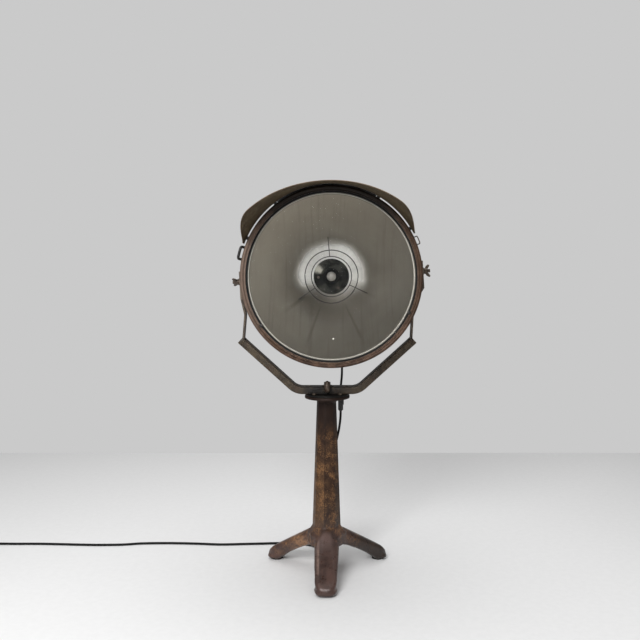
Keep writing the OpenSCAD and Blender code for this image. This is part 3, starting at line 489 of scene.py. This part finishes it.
black_plate = worn_paint("black_plate", srgb(9, 8, 7), srgb(19, 17, 15), patch=30, edge=(srgb(72, 58, 46), 1.4, 0.5),
                         rough=(0.45, 0.65), metal=0.1, grain=(0.4, 500), speck=(srgb(60, 44, 33), 260, 0.12),
                         shine=0.2)
dull_steel = worn_paint("dull_steel", srgb(62, 53, 46), srgb(96, 85, 74), patch=90,
                        edge=(srgb(150, 136, 118), 0.8, 0.6),
                        rough=(0.35, 0.6), metal=0.55, grain=(0.4, 900), speck=(srgb(62, 42, 30), 700, 0.3))
dark_metal = worn_paint("dark_metal", srgb(22, 21, 20), srgb(36, 33, 31), patch=60, edge=(srgb(90, 80, 70), 0.7, 0.4),
                        rough=(0.3, 0.5), metal=0.3, grain=(0.2, 900))
bright_steel = plain_finish("bright_steel", srgb(205, 202, 194), rough=(0.22, 0.4), metal=1.0)
brass = plain_finish("brass", srgb(190, 160, 95), rough=(0.25, 0.4), metal=1.0)
rubber = plain_finish("black_rubber", srgb(20, 20, 20), rough=(0.6, 0.75), shine=0.2)
plastic = plain_finish("black_plastic", srgb(22, 22, 22), rough=(0.32, 0.45))
rivet_glint_white = plain_finish("rivet_glint_white", srgb(240, 238, 230), rough=(0.3, 0.4), shade=0.1)
# Pressed felt for the pads, made this dark as painted shade: the pads' edges under the toes stand for the contact
# shadow there.
felt_dark_as_shade = plain_finish("pressed_felt_dark_as_shade", srgb(38, 32, 28), rough=(0.9, 1.0), grain=(0.8, 1500), shade=0.5)
porcelain = plain_finish("sooty_porcelain", srgb(8, 8, 8), rough=(0.75, 0.9), shine=0.08)
mirror = spun_aluminium()
glass = clear_glass()
opal_glass = opal()
socket = socket_metal()


# ---------------------------------------------------------------- makers of pieces
def new_piece(name, shape, crease=35):
    """A finished object from a bmesh: merged, facing outwards, smooth but for its edges."""
    bmesh.ops.remove_doubles(shape, verts=shape.verts, dist=1e-6)
    bmesh.ops.recalc_face_normals(shape, faces=shape.faces)
    mesh = bpy.data.meshes.new(name)
    shape.to_mesh(mesh)
    shape.free()
    mesh.shade_smooth()
    mesh.set_sharp_from_angle(angle=math.radians(crease))
    piece = bpy.data.objects.new(name, mesh)
    bpy.context.scene.collection.objects.link(piece)
    return piece


def dress(piece, body, finish, slot, *stands_for):
    """Gives a piece its finish, the body it moves with and the CAD nodes it stands for."""
    piece.data.materials.clear()
    piece.data.materials.append(finish)
    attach(piece, body)
    if stands_for:
        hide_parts(*stands_for)
    return piece


def eased(outline, radius, steps=4):
    """A closed outline with its corners rounded, except on the axis."""
    made = []
    for i, corner in enumerate(outline):
        a, b, c = (Vector(p) for p in (outline[i - 1], corner, outline[(i + 1) % len(outline)]))
        if b[0] == 0:
            made.append(b)
            continue
        before, after = (a - b), (c - b)
        start = b + before.normalized() * min(radius, 0.45 * before.length)
        end = b + after.normalized() * min(radius, 0.45 * after.length)
        for k in range(steps + 1):
            t = k / steps
            made.append((1 - t) ** 2 * start + 2 * t * (1 - t) * b + t * t * end)
    return made


def spun(name, outline, steps=160, upright=False, place=HEAD):
    """An outline of (radius, height) turned a full circle, about the head's axis or upright."""
    shape = bmesh.new()
    verts = [shape.verts.new((r * MM, 0, f * MM) if upright else (r * MM, -f * MM, 0)) for r, f in outline]
    edges = [shape.edges.new(pair) for pair in zip(verts, verts[1:] + verts[:1])]
    bmesh.ops.spin(shape, geom=verts + edges, cent=(0, 0, 0), axis=(0, 0, 1) if upright else (0, 1, 0),
                   angle=math.tau, steps=steps, use_merge=True)
    bmesh.ops.transform(shape, matrix=place, verts=shape.verts)
    return new_piece(name, shape)


def copy_of(node):
    """A CAD node's shape, to work on."""
    shape = bmesh.new()
    shape.from_mesh(nodes[node].data)
    bmesh.ops.remove_doubles(shape, verts=shape.verts, dist=2e-6)
    return shape


def merge(whole, part):
    """Adds one bmesh to another and lets go of it."""
    spare = bpy.data.meshes.new("spare")
    part.to_mesh(spare)
    part.free()
    whole.from_mesh(spare)
    bpy.data.meshes.remove(spare)


def round_edges(shape, edges, width, segments):
    bmesh.ops.bevel(shape, geom=edges, offset=width * MM, offset_type="OFFSET", segments=segments, profile=0.5,
                    affect="EDGES", clamp_overlap=True, material=-1)


def softened(node, width, finish, segments=2):
    """A copy of a CAD node with its sharp edges broken."""
    shape = copy_of(node)
    bmesh.ops.dissolve_limit(shape, angle_limit=math.radians(0.6), verts=shape.verts, edges=shape.edges)
    sharp = [e for e in shape.edges if len(e.link_faces) == 2 and e.calc_face_angle(0) > math.radians(30)]
    round_edges(shape, sharp, width, segments)
    return dress(new_piece(node + "_softened", shape), nodes[node]["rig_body"], finish, slots[node], node)


def cast(name, shape, voxel, passes):
    """Overlapping solids melted into one skin with soft inner corners."""
    rough = new_piece(name + "_rough", shape)
    skin = rough.modifiers.new("skin", "REMESH")
    skin.mode = "VOXEL"
    skin.voxel_size = voxel * MM
    ease = rough.modifiers.new("ease", "SMOOTH")
    ease.factor = 0.5
    ease.iterations = passes
    bpy.context.view_layer.update()
    mesh = bpy.data.meshes.new_from_object(rough.evaluated_get(bpy.context.evaluated_depsgraph_get()))
    bpy.data.objects.remove(rough)
    mesh.name = name
    mesh.shade_smooth()
    piece = bpy.data.objects.new(name, mesh)
    bpy.context.scene.collection.objects.link(piece)
    return piece


def cast_copy(node, voxel, passes, finish):
    """A copy of a CAD node with the soft shape of a small casting."""
    piece = cast(node + "_cast", copy_of(node), voxel, passes)
    return dress(piece, nodes[node]["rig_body"], finish, slots[node], node)


def join(name, pieces):
    """Several objects made into one."""
    shape = bmesh.new()
    for piece in pieces:
        shape.from_mesh(piece.data)
        bpy.data.objects.remove(piece)
    return new_piece(name, shape, 50)


# ---------------------------------------------------------------- stand
# Slices along a toe: reach, half width above and below, top, bottom, corner above and below.
TOE_SLICES = [(20, 34, 30, 128, 74, 20, 16), (62, 34, 29, 105, 63, 18, 14), (100, 33, 27, 83.5, 45, 17, 14),
              (135, 31.5, 24, 63.7, 25, 14, 13), (166, 29.5, 23, 46.2, 2, 10, 12.5)]
END_ANGLES = (0, 22, 44, 66, 84)
# Each toe: direction, extra length, lift under its tip, spread across. The front one comes first.
TOES = ((-91, 3.5, 2, 1.06), (30, -9, 9, 1), (150, -8, 9, 1))
# The front toe's round top where it leaves the hub: reach, half spread, height, radius.
KNUCKLE = ((36, 6, 112, 17), (62, 13, 88.5, 18), (104, 12, 64.5, 17.5))
# Eight-sided tapers: from height, to height, radius at each.
HUB = ((76, 112, 56, 58), (108, 118, 59, 49), (116, 127, 49.5, 42.8), (125, 138, 43.5, 38.8))
SHAFT = (90, 497, 42.6, 28.2)
FACET_TURN = -8
FLANGE = [(0, 480), (24, 480), (26, 484), (29.5, 489), (36, 493), (46, 495.2), (62, 495.6), (64.4, 496.6),
          (65, 498.6), (65, 501.6), (64.2, 503.4), (62.5, 504), (0, 504)]


def hull_of(balls):
    """The skin stretched over balls of (x, y, z, radius)."""
    shape = bmesh.new()
    for x, y, z, r in balls:
        at = Matrix.Translation((x * MM, y * MM, z * MM))
        bmesh.ops.create_icosphere(shape, subdivisions=3, radius=r * MM, matrix=at)
    bmesh.ops.delete(shape, geom=shape.edges[:], context="EDGES_FACES")
    made = bmesh.ops.convex_hull(shape, input=shape.verts[:])
    spare = [g for g in made["geom_interior"] + made["geom_unused"] if isinstance(g, bmesh.types.BMVert)]
    bmesh.ops.delete(shape, geom=list(set(spare)), context="VERTS")
    return shape


def add_turned(whole, part, turn):
    """Adds a bmesh to another, turned about the column's axis."""
    bmesh.ops.rotate(part, cent=(0, 0, 0), matrix=Matrix.Rotation(math.radians(turn), 3, "Z"), verts=part.verts)
    bmesh.ops.translate(part, vec=(COLUMN_X, 0, 0), verts=part.verts)
    merge(whole, part)


def section(reach, half_top, half_bottom, top, bottom, corner, low_corner):
    """Four balls at the corners of a slice through a toe."""
    return [(reach, s * (half - r), z, r) for s in (-1, 1)
            for half, z, r in ((half_top, top - corner, corner), (half_bottom, bottom + low_corner, low_corner))]


def broader(balls, wide):
    """The same balls set further apart across the toe."""
    return [(reach, y * wide, z, r) for reach, y, z, r in balls]


def round_off(angle):
    """How far out and how wide a toe's end is: 0 degrees where it starts, 90 at its tip."""
    return math.sin(math.radians(angle)), math.cos(math.radians(angle)) ** 0.6


def rounded_end(angle, longer, lift):
    """A slice of a toe's rounded end."""
    out, side = round_off(angle)
    top = 46.2 - 15.8 * out - 8 * (1 - side)
    bottom = 1.8 + lift * (1 - side)
    return section(167 + (28 + longer) * out, 10 + 20 * side, 9 + 16 * side, top, bottom, 9.5, 8.5 + 4.5 * side)


def foot_lip(angle, longer, lift):
    """A slice of the slightly wider rim round the end of a toe, near the floor."""
    out, side = round_off(angle)
    bottom = 4.6 + (lift - 2) * (1 - side)
    return section(176 + (23.5 + longer) * out, 12 + 18.6 * side, 11 + 18 * side, 18 - 2 * out, bottom, 5.4, 5.4)


def add_taper(shape, z0, z1, r0, r1):
    """Adds a tapered bar with eight faces, upright on the column's middle."""
    place = Matrix.Translation((SHAFT_X, 0, (z0 + z1) / 2 * MM)) @ Matrix.Rotation(math.radians(FACET_TURN), 4, "Z")
    bmesh.ops.create_cone(shape, cap_ends=True, segments=8, radius1=r0 * MM, radius2=r1 * MM,
                          depth=(z1 - z0) * MM, matrix=place)


def rising_edges(shape):
    return [e for e in shape.edges if abs(e.verts[0].co.z - e.verts[1].co.z) > MM]


def build_shaft():
    """The column: eight faces with a small radius on each long edge."""
    bar = bmesh.new()
    add_taper(bar, *SHAFT)
    bmesh.ops.subdivide_edges(bar, edges=rising_edges(bar), cuts=12, use_grid_fill=True)
    round_edges(bar, [e for e in rising_edges(bar) if e.calc_face_angle(0) > math.radians(20)], 1.4, 2)
    return bar


def build_casting():
    """Hub and toes melted together, with the faceted column and its flange on top."""
    whole = bmesh.new()
    for taper in HUB:
        add_taper(whole, *taper)
    for turn, longer, lift, wide in TOES:
        for a, b in zip(TOE_SLICES, TOE_SLICES[1:]):
            add_turned(whole, hull_of(broader(section(*a) + section(*b), wide)), turn)
        for end in (rounded_end, foot_lip):
            balls = [ball for angle in END_ANGLES for ball in end(angle, longer, lift)]
            add_turned(whole, hull_of(broader(balls, wide)), turn)
    front_toe = TOES[0][0]
    add_turned(whole, hull_of([(reach, s * y, z, r) for s in (-1, 1) for reach, y, z, r in KNUCKLE]), front_toe)
    toes = cast("toes", whole, 2.6, 14)
    column = new_piece("column", build_shaft(), 40)
    flange = spun("flange", FLANGE, 128, True, COLUMN)
    return join("casting", [toes, column, flange])


dress(build_casting(), "base", cast_iron, "cast", "pedestal")
softened("foot_pads", 0.8, felt_dark_as_shade)
softened("pan_stud", 0.8, dull_steel)

# ---------------------------------------------------------------- swivel and fork
dress(spun("swivel_disc", eased([(6.3, 504.2), (64, 504.2), (64, 509.5), (6.3, 509.5)], 1.8), 128, True, COLUMN),
      "yoke", black_plate, "black_plate", "swivel_plate")

# The fork's line seen from the front: height of its web, its left tip, the arms' slope in degrees, the
# bends' radius and their centres' distance from the middle, and how far the web stops short of a tip.
WEB_TOP = 529.5
ARM_TIP = Vector((-243, 671.5))
ARM_SLOPE = 42
BEND_R = 40
BEND_AT = 69.94
WEB_SHORT = 10.5
# Its channel: half the width of the web, depth and thickness of the flanges.
CHANNEL_HALF, CHANNEL_DEEP, CHANNEL_WALL = 25, 20, 5
ARM_LEAN = math.radians(ARM_SLOPE)
ARM_WAY = Vector((-math.cos(ARM_LEAN), math.sin(ARM_LEAN)))
ARM_DOWN = Vector((-math.sin(ARM_LEAN), -math.cos(ARM_LEAN)))


def fork_stations():
    """Points along the web from the left arm to the right, each with the way down into the channel."""
    left = [(ARM_TIP - ARM_WAY * WEB_SHORT, ARM_DOWN)]
    for k in range(13):
        a = math.radians(270 - ARM_SLOPE + ARM_SLOPE * k / 12)
        out = Vector((math.cos(a), math.sin(a)))
        left.append((Vector((-BEND_AT, WEB_TOP + BEND_R)) + out * BEND_R, out))
    return left + [(Vector((-p.x, p.y)), Vector((-n.x, n.y))) for p, n in reversed(left)]


def flange_end(side, face):
    """The end of one flange, which runs on past the web at an arm's tip."""
    stub = bmesh.new()
    bmesh.ops.create_cube(stub, size=1)
    bmesh.ops.scale(stub, vec=((WEB_SHORT + 3) * MM, CHANNEL_WALL * MM, CHANNEL_DEEP * MM), verts=stub.verts)
    round_edges(stub, stub.edges[:], 1.6, 3)
    middle = ARM_TIP - ARM_WAY * (WEB_SHORT + 3) / 2 + ARM_DOWN * CHANNEL_DEEP / 2
    out = face * (CHANNEL_HALF - CHANNEL_WALL / 2) * MM
    place = Matrix.Translation((COLUMN_X - side * middle.x * MM, out, middle.y * MM))
    bmesh.ops.transform(stub, verts=stub.verts, matrix=place @ Matrix.Rotation(-side * ARM_LEAN, 4, "Y"))
    return stub


def build_fork():
    """A channel bent to the fork's line, with its web cut short of both tips."""
    half, deep, wall = CHANNEL_HALF, CHANNEL_DEEP, CHANNEL_WALL
    outline = eased([(-half, deep), (-half, 0), (half, 0), (half, deep), (half - wall, deep), (half - wall, wall),
                     (wall - half, wall), (wall - half, deep)], 2.2, 3)
    shape = bmesh.new()
    loops = []
    for at, down in fork_stations():
        ring = [shape.verts.new((COLUMN_X + (at.x + down.x * t) * MM, y * MM, (at.y + down.y * t) * MM))
                for y, t in outline]
        loops.append([shape.edges.new(pair) for pair in zip(ring, ring[1:] + ring[:1])])
    for a, b in zip(loops, loops[1:]):
        bmesh.ops.bridge_loops(shape, edges=a + b)
    for end in (loops[0], loops[-1]):
        bmesh.ops.contextual_create(shape, geom=end)
    for side in (-1, 1):
        for face in (-1, 1):
            merge(shape, flange_end(side, face))
    return new_piece("fork_channel", shape, 40)


dress(build_fork(), "yoke", fork_paint, slots["fork"], "fork")
for strap in ("left_strap", "right_strap"):
    softened(strap, 0.9, strap_paint)
for small in ("plate_bolts", "fork_bolts", "strap_bolts", "pan_washer", "pivot_washers"):
    softened(small, 0.6, dull_steel)
for small in ("left_wing_nut", "right_wing_nut", "pan_lever"):
    cast_copy(small, 0.55, 4, dull_steel)

# ---------------------------------------------------------------- head
# Outlines of the head are (radius, distance forward of the tilt axis).
RIM = 118
DRUM = 236


def rib(at, high, wide=7):
    """A pressed rib on the drum, as points of its outline from front to back."""
    return [(DRUM + high * math.sin(math.pi * k / 6) ** 2, at + wide * (0.5 - k / 6)) for k in range(7)]


outside = ([(242.5, RIM), (242.5, RIM - 2), (DRUM, RIM - 2)] + rib(60, 1.4) + rib(-72, 1.4)
           + [(DRUM, -92), (DRUM - 3, -97), (78, -198), (75, -202), (75, -255)])
inside = [(73, -255), (73, -200), (DRUM - 3, -94), (DRUM - 2, -90), (DRUM - 2, RIM)]
dress(spun("drum", outside + inside), "head", drum_paint, "head_paint", "housing")
softened("rear_cover", 0.9, drum_paint)
softened("pivot_brackets", 1.2, drum_paint)
softened("clip_lugs", 0.6, drum_paint)
for small in ("cover_screws", "pivot_bolts", "gland_nut"):
    softened(small, 0.6, dull_steel)

# The bowl is a paraboloid from its neck to its mouth, rolled over the drum's rim.
VERTEX, FOCAL, NECK, MOUTH = -114.2, 55, 54, 226
BOWL_STEPS = 60
bowl_radii = [NECK + (MOUTH - NECK) * i / BOWL_STEPS for i in range(BOWL_STEPS + 1)]
face = [(r, VERTEX + r ** 2 / (4 * FOCAL)) for r in bowl_radii]
back = [(r + 1.2, f - 0.9) for r, f in reversed(face[:-1])]
bowl = face + [(MOUTH + 0.6, 119.1), (MOUTH + 1.6, 119.5), (241, 119.5), (241, 118), (229, 118)] + back
dress(spun("reflector_bowl", bowl, 192), "head", mirror, "mirror_metal", "reflector")


def on_bowl(angle, radius, f):
    """A point of the head's front view, in the lamp's frame."""
    a = math.radians(angle)
    return HEAD @ (Vector((radius * math.cos(a), -f, radius * math.sin(a))) * MM)


# A rivet in the bowl, coloured white: a painted highlight standing for its glint.
rivet = bmesh.new()
bmesh.ops.create_uvsphere(rivet, u_segments=16, v_segments=10, radius=2.6 * MM)
bmesh.ops.scale(rivet, vec=(1, 0.6, 1), verts=rivet.verts)
bmesh.ops.translate(rivet, vec=on_bowl(268.4, 178.5, 31.5), verts=rivet.verts)
dress(new_piece("bowl_rivet", rivet), "head", rivet_glint_white, "bright_screws")

HOLD = -102.7
plate = [(4.8, HOLD - 3), (62, HOLD - 3), (62, HOLD), (48, HOLD), (45, HOLD + 1), (31, HOLD + 1), (29, HOLD),
         (4.8, HOLD)]
dress(spun("socket_plate", eased(plate, 0.8), 96), "head", socket, "dark_metal", "holder_plate")
softened("holder_screws", 0.8, dull_steel)
grip = [(r, HOLD + 3 + 3.5 * k + d) for k in range(6) for r, d in ((25, 0), (25, 1.4), (23.8, 1.8), (23.8, 3.1))]
holder = [(0, HOLD), (25, HOLD)] + grip + [(25, HOLD + 27), (22, HOLD + 30), (15.5, HOLD + 30), (13.4, HOLD + 26),
                                           (13.4, HOLD + 4.2), (0, HOLD + 4.2)]
dress(spun("lamp_socket", eased(holder, 0.7, 2), 96), "head", porcelain, "black_plastic", "lamp_holder")
BULB_FROM = -73.3
dome = [(13.5 * math.cos(math.radians(a)), BULB_FROM + 46 + 10 * math.sin(math.radians(a))) for a in range(0, 90, 9)]
dress(spun("opal_bulb", [(0, BULB_FROM), (12.4, BULB_FROM), (13.2, BULB_FROM + 1.5), (13.5, BULB_FROM + 4)] + dome
           + [(0, BULB_FROM + 56)], 64), "head", opal_glass, "bulb_glass", "bulb")

# Two slightly wavy rings of wire, and three legs that run out until they meet the bowl.
GUARD_F = -48.2
GUARD_R = (59.5, 78.5)
wires = []
for count, radius in enumerate(GUARD_R):
    loop = [on_bowl(3 * k, radius + 0.5 * math.sin(math.radians(9 * k + 40)), GUARD_F) for k in range(120)]
    wires.append(tube("guard_loop_%d" % count, loop, 1.4 * MM, 3, True))
meets_bowl = math.sqrt(4 * FOCAL * (GUARD_F - VERTEX)) - 1
for angle in (91.6, 211.6, 331.6):
    leg = [on_bowl(angle, r, GUARD_F) for r in (*GUARD_R, meets_bowl - 8, meets_bowl - 1.5)]
    wires.append(tube("guard_leg_%d" % angle, leg, 1.2 * MM, 3))
dress(join("guard_wires", wires), "head", dark_metal, "dark_metal", "wire_guard")

# ---------------------------------------------------------------- front
bead = [(244.5 + 5.5 * math.cos(math.radians(a)), 129 + 5.5 * math.sin(math.radians(a))) for a in range(165, -1, -11)]
ring = [(247.4, 127), (235, 127), (235, 130)] + bead + [(250, 104), (251, 101.5), (249.5, 100), (247.4, 100.4)]
dress(spun("rim_ring", ring, 192), "head", ring_paint, "head_paint", "front_ring")
softened("glass_seal", 0.7, rubber)
softened("glass_clips", 0.5, dark_metal)
softened("visor_tabs", 0.5, dark_metal)


# The visor: half its span in degrees, its radius at the ring, the length of its rounded ends, the depth of
# its strip at the ends and how much deeper its middle is.
VISOR_SPAN, VISOR_R, VISOR_ROUND, VISOR_STRIP, VISOR_DEEPER = 66, 257, 87, 18, 170


def visor_point(share, along):
    """Visor's outer face: share runs from its left end (-1) to its right end (1), along from back to front."""
    a = math.radians(VISOR_SPAN * share)
    inward = min(1, math.radians(VISOR_SPAN) * (1 - abs(share)) * VISOR_R / VISOR_ROUND)
    deep = (VISOR_STRIP + VISOR_DEEPER * max(0, 1 - (1 - inward) ** 2) ** 1.43) * along
    u = deep / (VISOR_STRIP + VISOR_DEEPER)
    r = VISOR_R + u * ((math.sin(a) / math.sin(math.radians(50))) ** 2 * 23.5 - 15)
    return HEAD @ (Vector((r * math.sin(a) - 7.5 * u, -112 - deep, r * math.cos(a))) * MM)


def build_visor():
    """A sheet bent to the visor's face, thickened inwards."""
    shape = bmesh.new()
    bmesh.ops.create_grid(shape, x_segments=144, y_segments=28, size=1)
    for v in shape.verts:
        v.co = visor_point(math.sin(v.co.x * math.pi / 2), (v.co.y + 1) / 2)
    bmesh.ops.recalc_face_normals(shape, faces=shape.faces)
    if sum(f.normal.dot(f.calc_center_median() - Vector((0, -0.2, HEAD_Z))) for f in shape.faces) < 0:
        bmesh.ops.reverse_faces(shape, faces=shape.faces[:])
    bmesh.ops.solidify(shape, geom=shape.faces[:], thickness=1.5 * MM)
    return new_piece("visor_sheet", shape, 50)


dress(build_visor(), "head", visor_paint, "visor_paint", "visor")


def clip_loop(name, half, radius, turn, bar_r, bend):
    """A bent wire: pivot, two legs and the bar over the ring, closed on itself."""
    corners = [Vector(p) for p in ((-half, -80, 246), (half, -80, 246), (half, -128, bar_r), (-half, -128, bar_r))]
    line = []
    for i, b in enumerate(corners):
        a, c = corners[i - 1], corners[(i + 1) % 4]
        start, end = b + (a - b).normalized() * bend, b + (c - b).normalized() * bend
        line += [(1 - t) ** 2 * start + 2 * t * (1 - t) * b + t * t * end for t in (0, 0.2, 0.4, 0.6, 0.8, 1)]
    place = HEAD @ Matrix.Rotation(math.radians(turn), 4, "Y")
    return tube(name, [place @ (p * MM) for p in line], radius * MM, 4, True)


dress(clip_loop("left_bail_wire", 17, 3.8, -72, 259.5, 9), "left_bail", dark_metal, "dark_metal", "left_clip")
dress(clip_loop("right_bail_wire", 11, 1.5, 70.5, 258.5, 6), "right_bail", dull_steel, "bolts", "right_clip")

# ---------------------------------------------------------------- cord pieces
softened("cable_gland", 0.8, rubber)
for shell in ("switch_left_shell", "switch_right_shell"):
    softened(shell, 1.6, plastic, 3)
softened("switch_rocker", 0.7, plastic)
softened("plug_body", 2.0, plastic, 3)
softened("plug_pins", 0.7, bright_steel)
softened("coil_tie", 0.3, plastic)
for cord in (upper_cord, lower_cord):
    cord.data.materials.append(rubber)

for node, finish in (("front_glass", glass), ("bulb_cap", brass), ("inner_lead", rubber)):
    nodes[node].data.materials.clear()
    nodes[node].data.materials.append(finish)

# ---------------------------------------------------------------- studio
FLOOR_BACK = 1.444
FLOOR_FRONT = -1.7
FLOOR_HALF = 1.75
floor_shape = bmesh.new()
bmesh.ops.create_grid(floor_shape, x_segments=1, y_segments=1, size=1)
bmesh.ops.scale(floor_shape, vec=(FLOOR_HALF, (FLOOR_BACK - FLOOR_FRONT) / 2, 1), verts=floor_shape.verts)
bmesh.ops.translate(floor_shape, vec=(0, (FLOOR_BACK + FLOOR_FRONT) / 2, 0), verts=floor_shape.verts)
floor = new_piece("studio_floor", floor_shape)
floor.data.materials.append(plain_finish("floor_paint", srgb(240, 240, 240), rough=(0.6, 0.75), grain=(0.03, 60),
                                         shade=0.03))


def build_world():
    """Soft white light all round, and a pale wall where the camera looks past the floor."""
    world = bpy.data.worlds.new("studio")
    bpy.context.scene.world = world
    world.use_nodes = True
    tree = world.node_tree
    tree.nodes.clear()
    fill = tree.nodes.new("ShaderNodeBackground")
    fill.inputs["Color"].default_value = (1, 1, 1, 1)
    fill.inputs["Strength"].default_value = 0.3
    seen = tree.nodes.new("ShaderNodeBackground")
    seen.inputs["Color"].default_value = (*srgb(202, 202, 202), 1)
    seen.inputs["Strength"].default_value = 1
    mix = tree.nodes.new("ShaderNodeMixShader")
    ray = tree.nodes.new("ShaderNodeLightPath")
    out = tree.nodes.new("ShaderNodeOutputWorld")
    tree.links.new(ray.outputs["Is Camera Ray"], mix.inputs[0])
    tree.links.new(fill.outputs[0], mix.inputs[1])
    tree.links.new(seen.outputs[0], mix.inputs[2])
    tree.links.new(mix.outputs[0], out.inputs[0])


def softbox(name, at, aim, size, power, spread=180):
    """A square light aimed at a point, in watts; spread is how wide its beam opens, in degrees."""
    light = bpy.data.lights.new(name, "AREA")
    light.shape = "RECTANGLE"
    light.size = light.size_y = size
    light.energy = power
    light.spread = math.radians(spread)
    lamp = bpy.data.objects.new(name, light)
    lamp.location = at
    lamp.rotation_euler = (Vector(aim) - Vector(at)).to_track_quat("-Z", "Y").to_euler()
    bpy.context.scene.collection.objects.link(lamp)


build_world()
softbox("overhead", (0, 0.3, 3.0), (0, 0.3, 0.3), 2.2, 37)
softbox("left_key", (-0.8, -2.5, 2.1), (0, 0, 0.4), 1.2, 76)
softbox("front", (-0.25, -3.0, 1.05), (0, 0, HEAD_Z), 0.9, 0.6, 28)
bpy.context.scene.view_settings.view_transform = "Standard"


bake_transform(upper_cord)
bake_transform(lower_cord)
